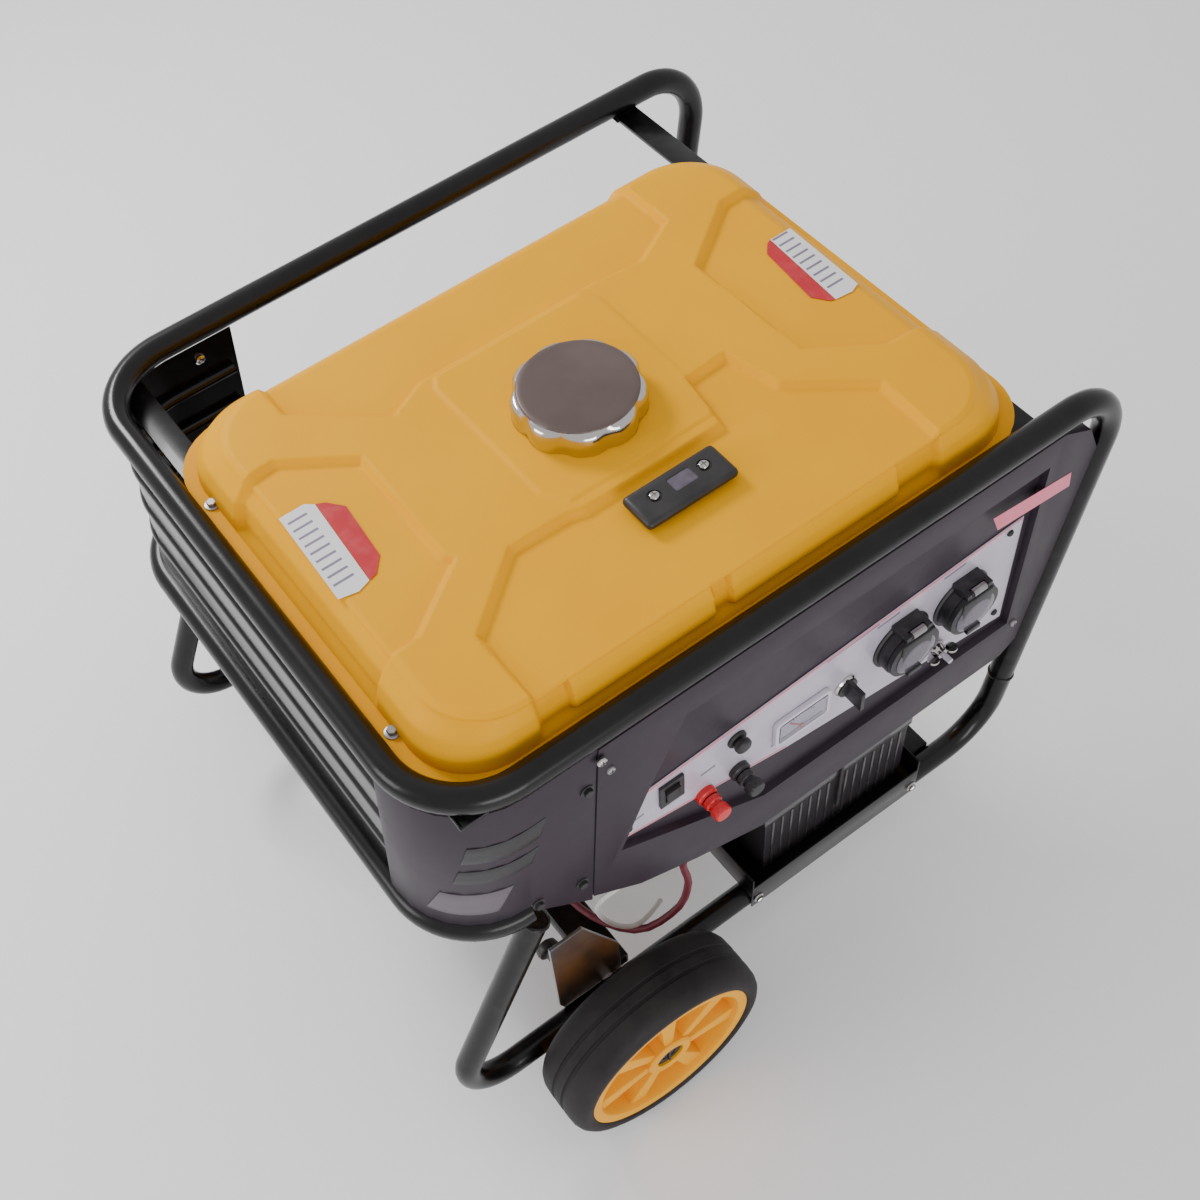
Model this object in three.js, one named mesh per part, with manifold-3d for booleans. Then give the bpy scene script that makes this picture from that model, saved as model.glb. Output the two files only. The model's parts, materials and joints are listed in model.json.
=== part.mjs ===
// Portable generator: a wheeled tube frame that carries a fuel tank, a control panel, an inclined
// single-cylinder engine, an alternator and a starting battery.
// Millimetres, +Z up. It is drawn from the ground under the top frame loop, and moved at the end so that
// the origin is on the ground in the middle of the whole outline.
// The control panel faces -Y, the recoil starter and the wheels are at the -X end.
import * as THREE from "three";
import { mergeVertices } from "three/addons/utils/BufferGeometryUtils.js";
import Module from "manifold-3d";

const wasm = await Module();
wasm.setup();

// ---------------------------------------------------------------- driving dimensions
const GAP = 0.3; // between pieces that touch
const SLIP = 0.5; // between pieces that move past each other

// frame
const TUBE_R = 12.7;
const TUBE_BORE = 10.9;
const FRAME_LEFT = -345; // tube centres of the top loop
const FRAME_RIGHT = 364;
const FRAME_HALF_Y = 290;
const TOP_Z = 612;
const LOWER_Z = 407;
const LEAN_OUT = 18; // the lower loop stands this much further out at the left end
const UPRIGHT_SLOPE = 0.148; // the right uprights come inwards going down, per mm
const LEG_SLOPE = 0.5; // the left legs go outwards going down, per mm
const CORNER_R = 75;
const UPRIGHT_BEND_R = 60;
const SKID_RIGHT_BEND_R = 65;
const SKID_LEFT_BEND_R = 50;
const SKID_JOINT_Z = 205; // where an upright is welded to its skid tube

// wheels
const TYRE_R = 115;
const TYRE_WIDTH = 70;
const RIM_R = 95;
const AXLE_R = 8;
const WHEEL_X = -210;
const WHEEL_GAP = 11.3; // between a tyre and its skid tube
const WHEEL_FACE_Y = FRAME_HALF_Y + TUBE_R + WHEEL_GAP + TYRE_WIDTH; // outer face of a wheel, from the middle
const SKID_Z = 115; // the axle goes through the middle of the skid tubes
const GROUND_Z = SKID_Z - TYRE_R;

// control panel
const PANEL_PROUD = 7; // the panel stands this far out of the middle of the frame tubes
const PANEL_FRONT = -FRAME_HALF_Y - PANEL_PROUD;
const PANEL_THICK = 12;
const POCKET_DEPTH = 8;
const FACE_THICK = 1;
const PANEL_LEFT = -203;
const PANEL_LOW_Z = 264;
const SOCKET_R = 30;
const SOCKET_Z = 427;
const SOCKET_X = [FRAME_RIGHT - 233, FRAME_RIGHT - 160];
const METER_W = 64;
const METER_H = 38;
const NEEDLE_HALF_SWING = 40; // degrees
const ROCKER_W = 22;
const ROCKER_H = 30;
const ROCKER_TILT = 6; // degrees each way
const BUTTON_R = 8;
const POST_R = 9;

// tank
const TANK_ENDS = [FRAME_LEFT + 14, FRAME_RIGHT - 81]; // the flange, inside the top loop
const TANK_SIDES = [14 - FRAME_HALF_Y, FRAME_HALF_Y - 108];
const TANK_CENTRE = [(TANK_ENDS[0] + TANK_ENDS[1]) / 2, (TANK_SIDES[0] + TANK_SIDES[1]) / 2];
const TANK_FLANGE_HALF = [(TANK_ENDS[1] - TANK_ENDS[0]) / 2, (TANK_SIDES[1] - TANK_SIDES[0]) / 2];
const TANK_BODY_HALF = [TANK_FLANGE_HALF[0] - 11, TANK_FLANGE_HALF[1] - 7];
const TANK_TOP_HALF = [TANK_FLANGE_HALF[0] - 43, TANK_FLANGE_HALF[1] - 31];
const TANK_TOP_SHIFT = [-5, -13]; // the rear slope is longer than the front one
const TANK_PAN_HALF = [TANK_FLANGE_HALF[0] - 39, TANK_FLANGE_HALF[1] - 17];
const TANK_TOP_Z = 654;
const TANK_BOTTOM_Z = 502;
const TANK_WALL = 2;
const CAP_AT = [-38, -53];
const CAP_R = 58;
const NECK_R = 40;

// engine and alternator
const MOUNT_R = 18;
const MOUNT_H = 22;
const RAIL_H = 20;
const RAIL_W = 40;
const RAIL_X = [-200, 205];
const CRANK_Z = 268;
const SHAFT_R = 15;
const CASE_X = [-255, -105];
const CYLINDER_TILT = 25; // degrees, leaning to the rear
const BLOWER_R = 125;
const ALTERNATOR_R = 108;
const ALTERNATOR_END_X = 150;
const ROTOR_R = 60;

// battery
const BATTERY = { x: [-14, 174], y: [4 - FRAME_HALF_Y, 80 - FRAME_HALF_Y], h: 132 };
const TRAY_WALL = 2;

// ---------------------------------------------------------------- materials
const paint = (color, roughness = 0.35, metalness = 0) =>
  new THREE.MeshStandardMaterial({ color, roughness, metalness });
const FRAME_BLACK = paint(0x17151a, 0.25, 0.2);
const COVER_GREY = paint(0x46414a, 0.5);
const TANK_YELLOW = paint(0xe8a91c, 0.35);
const WHEEL_YELLOW = paint(0xe2a92f, 0.5);
const RUBBER = paint(0x252226, 0.9);
const CHROME = paint(0xb8b4b4, 0.2, 1);
const ZINC = paint(0x9d9aa0, 0.4, 0.9);
const CAST = paint(0x8e8c90, 0.6, 0.6);
const LABEL_SILVER = paint(0xbcb4c4, 0.4, 0.2);
const BLACK_PLASTIC = paint(0x1d1b1f, 0.5);
const RED_PLASTIC = paint(0xd8323a, 0.4);
const BATTERY_GREY = paint(0x55525a, 0.3);
const METER_WHITE = paint(0xd8d4d8, 0.3);

// ---------------------------------------------------------------- making solids
function solid(geometry) {
  if (geometry instanceof wasm.Manifold) return geometry;
  const bare = geometry.clone();
  bare.deleteAttribute("normal");
  bare.deleteAttribute("uv");
  const merged = mergeVertices(bare, 1e-4);
  return new wasm.Manifold(
    new wasm.Mesh({
      numProp: 3,
      vertProperties: new Float32Array(merged.attributes.position.array),
      triVerts: new Uint32Array(merged.index.array),
    }),
  );
}

const join = (first, ...rest) => rest.reduce((sum, g) => sum.add(solid(g)), solid(first));
const cut = (first, ...rest) => rest.reduce((left, g) => left.subtract(solid(g)), solid(first));
const common = (first, second) => solid(first).intersect(solid(second));

function geometryOf(shape) {
  if (shape instanceof THREE.BufferGeometry) return shape;
  const made = shape.getMesh();
  const geometry = new THREE.BufferGeometry();
  geometry.setAttribute("position", new THREE.BufferAttribute(new Float32Array(made.vertProperties), 3));
  geometry.setIndex(new THREE.BufferAttribute(new Uint32Array(made.triVerts), 1));
  geometry.computeVertexNormals();
  return geometry;
}

const generator = new THREE.Group();
function add(name, shape, material) {
  const mesh = new THREE.Mesh(geometryOf(shape), material);
  mesh.name = name;
  generator.add(mesh);
}

const X = new THREE.Vector3(1, 0, 0);
const Y = new THREE.Vector3(0, 1, 0);
const Z = new THREE.Vector3(0, 0, 1);
const flat = (shape, depth, segments) =>
  new THREE.ExtrudeGeometry(shape, { depth, bevelEnabled: false, curveSegments: segments });

// A shape drawn in two axes, as thick as the stretch given on the third.
function alongX(shape, x0, x1, segments = 8) {
  return flat(shape, x1 - x0, segments)
    .applyMatrix4(new THREE.Matrix4().makeBasis(Y, Z, X))
    .translate(x0, 0, 0);
}
function alongY(shape, y0, y1, segments = 8) {
  return flat(shape, y1 - y0, segments)
    .applyMatrix4(new THREE.Matrix4().makeBasis(X, Z, Y.clone().negate()))
    .translate(0, y1, 0);
}
function alongZ(shape, z0, z1, segments = 8) {
  return flat(shape, z1 - z0, segments).translate(0, 0, z0);
}

function box(x0, x1, y0, y1, z0, z1) {
  return new THREE.BoxGeometry(x1 - x0, y1 - y0, z1 - z0)
    .translate((x0 + x1) / 2, (y0 + y1) / 2, (z0 + z1) / 2);
}
const rod = (r, length, sides) => new THREE.CylinderGeometry(r, r, length, sides);
const rodX = (r, x0, x1, y, z, sides = 20) =>
  rod(r, x1 - x0, sides).rotateZ(Math.PI / 2).translate((x0 + x1) / 2, y, z);
const rodY = (r, y0, y1, x, z, sides = 20) => rod(r, y1 - y0, sides).translate(x, (y0 + y1) / 2, z);
const rodZ = (r, z0, z1, x, y, sides = 20) =>
  rod(r, z1 - z0, sides).rotateX(Math.PI / 2).translate(x, y, (z0 + z1) / 2);

// A turned solid from [radius, height] points that close on the axis or on themselves.
const turned = (points, sides) =>
  new THREE.LatheGeometry(points.map(([r, h]) => new THREE.Vector2(r, h)), sides);

function outline(points) {
  return new THREE.Shape(points.map(([a, b]) => new THREE.Vector2(a, b)));
}
function roundedBox(a0, a1, b0, b1, r) {
  const shape = new THREE.Shape();
  shape.moveTo(a0 + r, b0);
  shape.lineTo(a1 - r, b0).absarc(a1 - r, b0 + r, r, -Math.PI / 2, 0);
  shape.lineTo(a1, b1 - r).absarc(a1 - r, b1 - r, r, 0, Math.PI / 2);
  shape.lineTo(a0 + r, b1).absarc(a0 + r, b1 - r, r, Math.PI / 2, Math.PI);
  shape.lineTo(a0, b0 + r).absarc(a0 + r, b0 + r, r, Math.PI, Math.PI * 1.5);
  return shape;
}

// A path through corner points, each with its own bend radius, as stations along the tube.
function stations(corners, bend, degreesPerStep = 13) {
  const points = corners.map((c) => new THREE.Vector3(...c));
  const made = [{ at: points[0], along: points[1].clone().sub(points[0]).normalize() }];
  for (let i = 1; i < points.length - 1; i++) {
    const into = points[i].clone().sub(points[i - 1]).normalize();
    const out = points[i + 1].clone().sub(points[i]).normalize();
    const turn = into.angleTo(out);
    const r = Array.isArray(bend) ? bend[i - 1] : bend;
    const side = out.clone().addScaledVector(into, -into.dot(out)).normalize();
    const start = points[i].clone().addScaledVector(into, -r * Math.tan(turn / 2));
    const steps = Math.max(2, Math.round(THREE.MathUtils.radToDeg(turn) / degreesPerStep));
    for (let k = 0; k <= steps; k++) {
      const a = (turn * k) / steps;
      made.push({
        at: start.clone().addScaledVector(into, r * Math.sin(a)).addScaledVector(side, r * (1 - Math.cos(a))),
        along: into.clone().multiplyScalar(Math.cos(a)).addScaledVector(side, Math.sin(a)),
      });
    }
  }
  const last = points.length - 1;
  made.push({ at: points[last], along: points[last].clone().sub(points[last - 1]).normalize() });
  return made;
}
class StationPath extends THREE.Curve {
  constructor(list) {
    super();
    this.list = list;
  }
  station(u) {
    return this.list[Math.round(u * (this.list.length - 1))];
  }
  getPointAt(u) {
    return this.station(u).at.clone();
  }
  getTangentAt(u) {
    return this.station(u).along.clone();
  }
}
function sweep(section, list, sides) {
  return new THREE.ExtrudeGeometry(section, {
    steps: list.length - 1, extrudePath: new StationPath(list), curveSegments: sides,
  });
}
function ring(rOuter, rBore) {
  const section = new THREE.Shape().absarc(0, 0, rOuter, 0, Math.PI * 2);
  if (rBore) section.holes.push(new THREE.Path().absarc(0, 0, rBore, 0, Math.PI * 2));
  return section;
}
const tube = (corners, bend, r = TUBE_R, bore = TUBE_BORE) =>
  sweep(ring(r, bore), stations(corners, bend), 7);

// A closed body through rings of equal point count.
function loft(rings) {
  const count = rings[0].length;
  const position = rings.flat(2);
  const index = [];
  for (let i = 0; i < rings.length - 1; i++)
    for (let k = 0; k < count; k++) {
      const [a, b] = [i * count + k, i * count + ((k + 1) % count)];
      index.push(a, b, b + count, a, b + count, a + count);
    }
  const top = (rings.length - 1) * count;
  for (let k = 1; k < count - 1; k++) index.push(0, k + 1, k, top, top + k, top + k + 1);
  const geometry = new THREE.BufferGeometry();
  geometry.setAttribute("position", new THREE.BufferAttribute(new Float32Array(position), 3));
  geometry.setIndex(index);
  return geometry;
}
// A rounded rectangle ring at one height.
function roundRing([cx, cy], [hx, hy], r, z, steps = 4) {
  const points = [];
  for (let q = 0; q < 4; q++)
    for (let k = 0; k <= steps; k++) {
      const a = (q + k / steps) * (Math.PI / 2);
      const [sx, sy] = [[1, 1], [-1, 1], [-1, -1], [1, -1]][q];
      points.push([cx + sx * (hx - r) + r * Math.cos(a), cy + sy * (hy - r) + r * Math.sin(a), z]);
    }
  return points;
}

// ---------------------------------------------------------------- frame
const uprightX = (z) => FRAME_RIGHT - UPRIGHT_SLOPE * (TOP_Z - z);
const LOWER_LEFT = FRAME_LEFT - LEAN_OUT;
const SKID_RIGHT = uprightX(SKID_Z);
const LEG_TOP_Z = LOWER_Z - TUBE_R - 14;
const LEG_TOP_X = LOWER_LEFT + CORNER_R + 7;
const SKID_LEFT = LEG_TOP_X - LEG_SLOPE * (LEG_TOP_Z - SKID_Z);

function topFrameTube() {
  const up = [uprightX(SKID_JOINT_Z), SKID_JOINT_Z];
  return tube(
    [[up[0], -FRAME_HALF_Y, up[1]], [FRAME_RIGHT, -FRAME_HALF_Y, TOP_Z], [FRAME_LEFT, -FRAME_HALF_Y, TOP_Z],
      [FRAME_LEFT, FRAME_HALF_Y, TOP_Z], [FRAME_RIGHT, FRAME_HALF_Y, TOP_Z], [up[0], FRAME_HALF_Y, up[1]]],
    [UPRIGHT_BEND_R, CORNER_R, CORNER_R, UPRIGHT_BEND_R],
  );
}
function lowerFrameTube() {
  const end = LOWER_LEFT + CORNER_R + 2;
  return tube(
    [[end, -FRAME_HALF_Y, LOWER_Z], [LOWER_LEFT, -FRAME_HALF_Y, LOWER_Z],
      [LOWER_LEFT, FRAME_HALF_Y, LOWER_Z], [end, FRAME_HALF_Y, LOWER_Z]],
    CORNER_R,
  );
}
const WHEEL_IN_Y = WHEEL_FACE_Y - TYRE_WIDTH;
const axleHole = () => rodY(AXLE_R + GAP, -WHEEL_FACE_Y, WHEEL_FACE_Y, WHEEL_X, SKID_Z, 16);
function skidTube(y) {
  const drop = (TUBE_R + GAP) * 0.5;
  const jointZ = SKID_JOINT_Z - GAP;
  return cut(
    tube(
      [[uprightX(jointZ), y, jointZ], [SKID_RIGHT, y, SKID_Z], [SKID_LEFT, y, SKID_Z],
        [LEG_TOP_X + LEG_SLOPE * drop, y, LEG_TOP_Z + drop]],
      [SKID_RIGHT_BEND_R, SKID_LEFT_BEND_R],
    ),
    axleHole(),
    box(-600, 600, y - 50, y + 50, LEG_TOP_Z, TOP_Z),
  );
}
add("top_frame_tube", topFrameTube(), FRAME_BLACK);
add("lower_frame_tube", lowerFrameTube(), FRAME_BLACK);
add("front_skid_tube", skidTube(-FRAME_HALF_Y), FRAME_BLACK);
add("rear_skid_tube", skidTube(FRAME_HALF_Y), FRAME_BLACK);

// Cross rails carry the engine and the alternator between the skid tubes.
const RAIL_TOP = SKID_Z + RAIL_H / 2;
const RAIL_HALF_Y = FRAME_HALF_Y - TUBE_R - GAP;
const PLATE_T = 4; // grey plates beside the skid tubes at the wheel end
function crossRail(x, halfLength) {
  const wall = 2.5;
  const section = roundedBox(x - RAIL_W / 2, x + RAIL_W / 2, SKID_Z - RAIL_H / 2, RAIL_TOP, 3);
  const bore = roundedBox(
    x - RAIL_W / 2 + wall, x + RAIL_W / 2 - wall, SKID_Z - RAIL_H / 2 + wall, RAIL_TOP - wall, 1,
  );
  section.holes.push(bore);
  return alongY(section, -halfLength, halfLength, 2);
}
add("left_cross_rail", cut(crossRail(RAIL_X[0], RAIL_HALF_Y - PLATE_T - GAP), axleHole()), FRAME_BLACK);
add("right_cross_rail", crossRail(RAIL_X[1], RAIL_HALF_Y), FRAME_BLACK);

// The support leg holds the end away from the wheels at the same height.
const LEG_HALF_Y = 90;
const PAD_H = 14;
function supportLeg() {
  const under = SKID_Z - RAIL_H / 2 - GAP;
  const low = GROUND_Z + PAD_H + GAP + TUBE_R;
  const x = RAIL_X[1];
  return cut(
    tube([[x, -LEG_HALF_Y, under], [x, -LEG_HALF_Y, low], [x, LEG_HALF_Y, low], [x, LEG_HALF_Y, under]], 35),
    rodZ(4, GROUND_Z, low, x, -LEG_HALF_Y + 45, 8),
    rodZ(4, GROUND_Z, low, x, LEG_HALF_Y - 45, 8),
  );
}
add("support_leg", supportLeg(), FRAME_BLACK);
for (const [side, y] of [["front", -LEG_HALF_Y + 45], ["rear", LEG_HALF_Y - 45]])
  add(`foot_pad_${side}`, rodZ(17, GROUND_Z, GROUND_Z + PAD_H, RAIL_X[1], y, 16), RUBBER);

// Flat bars under the tank flange, welded to the underside of the top loop.
const BAR_TOP = TOP_Z - TUBE_R - GAP;
const BAR_T = 4;
const BAR_W = 26;
const FLANGE_X = [TANK_CENTRE[0] - TANK_FLANGE_HALF[0], TANK_CENTRE[0] + TANK_FLANGE_HALF[0]];
const barAt = (x) => box(x, x + BAR_W, -FRAME_HALF_Y, FRAME_HALF_Y, BAR_TOP - BAR_T, BAR_TOP);
add("tank_bar_left", barAt(FLANGE_X[0] + 4), FRAME_BLACK);
add("tank_bar_right", barAt(FLANGE_X[1] - 4 - BAR_W), FRAME_BLACK);

// ---------------------------------------------------------------- covers round the left end
// A sheet that follows the top loop in plan and leans out with the lower loop.
const COVER_TOP = BAR_TOP - BAR_T - GAP;
const COVER_LOW = LOWER_Z + TUBE_R + GAP;
const leanBy = (z) => (LEAN_OUT * (z - TOP_Z)) / (TOP_Z - LOWER_Z);
function leaning(geometry) {
  const shear = new THREE.Matrix4().makeShear(0, 0, 0, 0, LEAN_OUT / (TOP_Z - LOWER_Z), 0);
  return geometry.translate(0, 0, -TOP_Z).applyMatrix4(shear).translate(0, 0, TOP_Z);
}
function ribbon(corners, inside, outside, z0, z1) {
  const path = stations(corners, CORNER_R);
  const edge = (offset) => path.map(({ at, along }) => [at.x - along.y * offset, at.y + along.x * offset]);
  return leaning(alongZ(outline([...edge(outside), ...edge(inside).reverse()]), z0, z1));
}
const PANEL_SEAM_X = PANEL_LEFT - GAP;
const GUARD_TURN_Y = -205; // where the corner guard meets the side panel
const GUARD_LOW_Z = 350;
function cornerGuard() {
  const sheet = ribbon(
    [[PANEL_SEAM_X, -FRAME_HALF_Y], [FRAME_LEFT, -FRAME_HALF_Y], [FRAME_LEFT, GUARD_TURN_Y]].map((p) => [...p, 0]),
    3.5, 6, GUARD_LOW_Z, COVER_TOP,
  );
  const leftOfLeg = LOWER_LEFT + CORNER_R + 4;
  const below = alongY(
    outline([[-500, 0], [PANEL_SEAM_X, 0], [PANEL_SEAM_X, GUARD_LOW_Z - 5], [-222, GUARD_LOW_Z],
      [leftOfLeg, COVER_LOW - 12], [leftOfLeg, COVER_LOW], [-500, COVER_LOW]]),
    -400, 0,
  );
  return cut(sheet, below);
}
const SIDE_END_X = -200;
function sidePanel() {
  const sheet = ribbon(
    [[FRAME_LEFT, GUARD_TURN_Y + GAP], [FRAME_LEFT, FRAME_HALF_Y], [SIDE_END_X, FRAME_HALF_Y]].map((p) => [...p, 0]),
    -2.2, -0.7, COVER_LOW, COVER_TOP,
  );
  return sheet;
}
add("corner_guard", cornerGuard(), COVER_GREY);
add("side_panel", sidePanel(), FRAME_BLACK);

// ---------------------------------------------------------------- wheels
const AXLE_END_Y = WHEEL_FACE_Y - 8;
add("wheel_axle", rodY(AXLE_R, -AXLE_END_Y, AXLE_END_Y, WHEEL_X, SKID_Z, 16), ZINC);

const HUB_R = 24;
function tyre(side) {
  const half = TYRE_WIDTH / 2;
  const shoulder = 12;
  const bead = RIM_R + GAP;
  const profile = [[bead, -half], [TYRE_R - shoulder, -half], [TYRE_R - 3, -half + shoulder * 0.6],
    [TYRE_R, -half + shoulder + 4], [TYRE_R, half - shoulder - 4], [TYRE_R - 3, half - shoulder * 0.6],
    [TYRE_R - shoulder, half], [bead, half], [bead, -half]];
  return turned(profile, 40).translate(WHEEL_X, side * (WHEEL_FACE_Y - half), SKID_Z);
}
function wheelHub(side) {
  const half = TYRE_WIDTH / 2 - 3;
  const web = 5;
  const bore = AXLE_R + SLIP;
  const profile = [[bore, -half], [HUB_R, -half], [HUB_R, -web], [RIM_R - 6, -web], [RIM_R - 6, -half],
    [RIM_R, -half], [RIM_R, half], [RIM_R - 6, half], [RIM_R - 6, web], [HUB_R, web], [HUB_R, half],
    [bore, half], [bore, -half]];
  let hub = solid(turned(profile, 40));
  for (let k = 0; k < 5; k++) {
    const rib = box(HUB_R - 4, RIM_R - 3, -half, half, -4, 4).rotateY((k * Math.PI * 2) / 5);
    hub = hub.add(solid(rib));
  }
  return geometryOf(hub).translate(WHEEL_X, side * (WHEEL_FACE_Y - TYRE_WIDTH / 2), SKID_Z);
}
for (const [end, side] of [["front", -1], ["rear", 1]]) {
  add(`tyre_${end}`, tyre(side), RUBBER);
  add(`wheel_hub_${end}`, wheelHub(side), WHEEL_YELLOW);
}

// Grey plates inside the skid tubes steady the axle.
function axlePlate(side) {
  const x0 = WHEEL_X - 58;
  const plate = alongY(
    outline([[x0, 128], [x0 + 12, 96], [WHEEL_X + 18, 96], [WHEEL_X + 18, 175], [x0 + 38, 262], [x0, 262]]),
    -PLATE_T / 2, PLATE_T / 2,
  ).translate(0, side * (RAIL_HALF_Y - PLATE_T / 2), 0);
  return cut(plate, axleHole());
}
add("axle_plate_front", axlePlate(-1), ZINC);
add("axle_plate_rear", axlePlate(1), ZINC);

// ---------------------------------------------------------------- fuel tank
const FLANGE_LOW = BAR_TOP + GAP;
const FLANGE_T = 1.6;
const SEAM_Z = FLANGE_LOW + FLANGE_T + GAP / 2;
const ringAt = (half, r, z, inset = 0, [dx, dy] = [0, 0]) =>
  roundRing([TANK_CENTRE[0] + dx, TANK_CENTRE[1] + dy], [half[0] - inset, half[1] - inset], Math.max(r - inset, 4), z);
function tankUpperShell() {
  const low = SEAM_Z + GAP / 2;
  const [hx, hy] = TANK_BODY_HALF;
  const [tx, ty] = TANK_TOP_HALF;
  const skin = (inset) => loft([
    ringAt([hx, hy], 60, inset ? low - 5 : low, inset),
    ringAt([hx - 2, hy - 1], 60, low + 14, inset),
    ringAt([hx - 9, hy - 8], 62, TANK_TOP_Z - 20 - inset / 3, inset, [-2, -4]),
    ringAt([(hx + tx) / 2 - 6, (hy + ty) / 2 - 5], 60, TANK_TOP_Z - 7 - inset / 2, inset, [-3, -8]),
    ringAt([tx, ty], 52, TANK_TOP_Z - inset, inset, TANK_TOP_SHIFT),
  ]);
  const flange = loft([
    ringAt(TANK_FLANGE_HALF, 62, low),
    ringAt(TANK_FLANGE_HALF, 62, low + FLANGE_T),
  ]);
  const neck = rodZ(NECK_R, TANK_TOP_Z - 1, TANK_TOP_Z + 8, ...CAP_AT, 32);
  const mouth = rodZ(NECK_R - 2, TANK_TOP_Z - 20, TANK_TOP_Z + 20, ...CAP_AT, 32);
  return cut(join(skin(0), flange, neck), skin(TANK_WALL), mouth, gaugeHole());
}
function tankLowerShell() {
  const pan = (inset) => loft([
    ringAt([TANK_PAN_HALF[0] - 25, TANK_PAN_HALF[1] - 25], 50, TANK_BOTTOM_Z + inset, inset),
    ringAt([TANK_PAN_HALF[0] - 8, TANK_PAN_HALF[1] - 8], 55, TANK_BOTTOM_Z + 22 + inset, inset),
    ringAt(TANK_PAN_HALF, 55, FLANGE_LOW + (inset ? 5 : 1), inset),
  ]);
  const flange = loft([
    ringAt(TANK_FLANGE_HALF, 62, FLANGE_LOW),
    ringAt(TANK_FLANGE_HALF, 62, FLANGE_LOW + FLANGE_T),
  ]);
  return cut(join(pan(0), flange), pan(TANK_WALL), rodZ(6, 480, 520, ...COCK_AT, 12));
}
const COCK_AT = [-60, -205];
const GAUGE_AT = [-27, -174];
const GAUGE_HALF = [46, 19];
const gaugeHole = () => rodZ(9, TANK_TOP_Z - 20, TANK_TOP_Z + 20, GAUGE_AT[0] + 4, GAUGE_AT[1], 16);
add("tank_upper_shell", tankUpperShell(), TANK_YELLOW);
add("tank_lower_shell", tankLowerShell(), TANK_YELLOW);

function fuelCap() {
  const low = TANK_TOP_Z + 2;
  const lobes = 9;
  const points = [];
  for (let k = 0; k < lobes * 6; k++) {
    const a = (k / (lobes * 6)) * Math.PI * 2;
    const r = CAP_R - 2.5 + 2.5 * Math.cos(lobes * a);
    points.push([r * Math.cos(a), r * Math.sin(a)]);
  }
  const at = (scale, z) => points.map(([x, y]) => [CAP_AT[0] + x * scale, CAP_AT[1] + y * scale, z]);
  const skin = loft([at(0.97, low), at(1, low + 3), at(0.99, low + 20), at(0.88, low + 26)]);
  const well = rodZ(NECK_R + SLIP, low - 1, TANK_TOP_Z + 9, ...CAP_AT, 32);
  const plug = rodZ(NECK_R - 2 - SLIP, TANK_TOP_Z - 4, TANK_TOP_Z + 12, ...CAP_AT, 32);
  return join(cut(skin, well), plug);
}
add("fuel_cap", fuelCap(), CHROME);
function fuelGauge() {
  const [x, y] = GAUGE_AT;
  const low = TANK_TOP_Z + GAP;
  const plate = alongZ(
    roundedBox(x - GAUGE_HALF[0], x + GAUGE_HALF[0], y - GAUGE_HALF[1], y + GAUGE_HALF[1], 6), low, low + 6, 3,
  );
  return join(plate, rodZ(9 - GAP, TANK_TOP_Z - 28, low + 1, x + 4, y, 16));
}
add("fuel_gauge", fuelGauge(), BLACK_PLASTIC);
function fuelCock() {
  const [x, y] = COCK_AT;
  return join(
    rodZ(6 - GAP, TANK_BOTTOM_Z - 30, TANK_BOTTOM_Z + 6, x, y, 12),
    rodZ(11, TANK_BOTTOM_Z - 26, TANK_BOTTOM_Z - GAP, x, y, 12),
    box(x - 12, x + 12, y - 12, y + 12, TANK_BOTTOM_Z - 25, TANK_BOTTOM_Z - 8),
    rodZ(3.5, TANK_BOTTOM_Z - 44, TANK_BOTTOM_Z - 24, x, y, 12),
  );
}
const COCK_LEVER_Z = TANK_BOTTOM_Z - 16;
function fuelCockLever() {
  const [x, y] = COCK_AT;
  const face = y - 12 - GAP;
  return join(rodY(8, face - 8, face, x, COCK_LEVER_Z, 16), box(x - 4, x + 30, face - 8, face - 3, COCK_LEVER_Z - 4, COCK_LEVER_Z + 4));
}
add("fuel_cock", fuelCock(), BLACK_PLASTIC);
add("fuel_cock_lever", fuelCockLever(), RED_PLASTIC);

// ---------------------------------------------------------------- control panel
const PANEL_BACK = PANEL_FRONT + PANEL_THICK;
const FLOOR_Y = PANEL_FRONT + POCKET_DEPTH;
const panelRightX = (z) => uprightX(z) - TUBE_R - 1.5;
const ROCKER_AT = [-133, 442];
const BUTTON_AT = [-61, 452];
const METER_AT = [13, 414];
const KEY_AT = [66, 413];
const POST_AT = [[-96, 394], [-58, 396]];
const GROUND_AT = [FRAME_RIGHT - 184, 371];
const socketHoles = (r, y0, y1) => SOCKET_X.map((x) => rodY(r, y0, y1, x, SOCKET_Z, 28));
const instrumentHoles = (y0, y1) => [
  ...socketHoles(22 + GAP, y0, y1),
  rodY(5 + SLIP, y0, y1, ...BUTTON_AT, 12),
  rodY(6 + SLIP, y0, y1, ...KEY_AT, 12),
  box(ROCKER_AT[0] - 9.5 - GAP, ROCKER_AT[0] + 9.5 + GAP, y0, y1, ROCKER_AT[1] - 13 - GAP, ROCKER_AT[1] + 13 + GAP),
  box(METER_AT[0] - 25 - GAP, METER_AT[0] + 25 + GAP, y0, y1, METER_AT[1] - 13 - GAP, METER_AT[1] + 13 + GAP),
];
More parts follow.
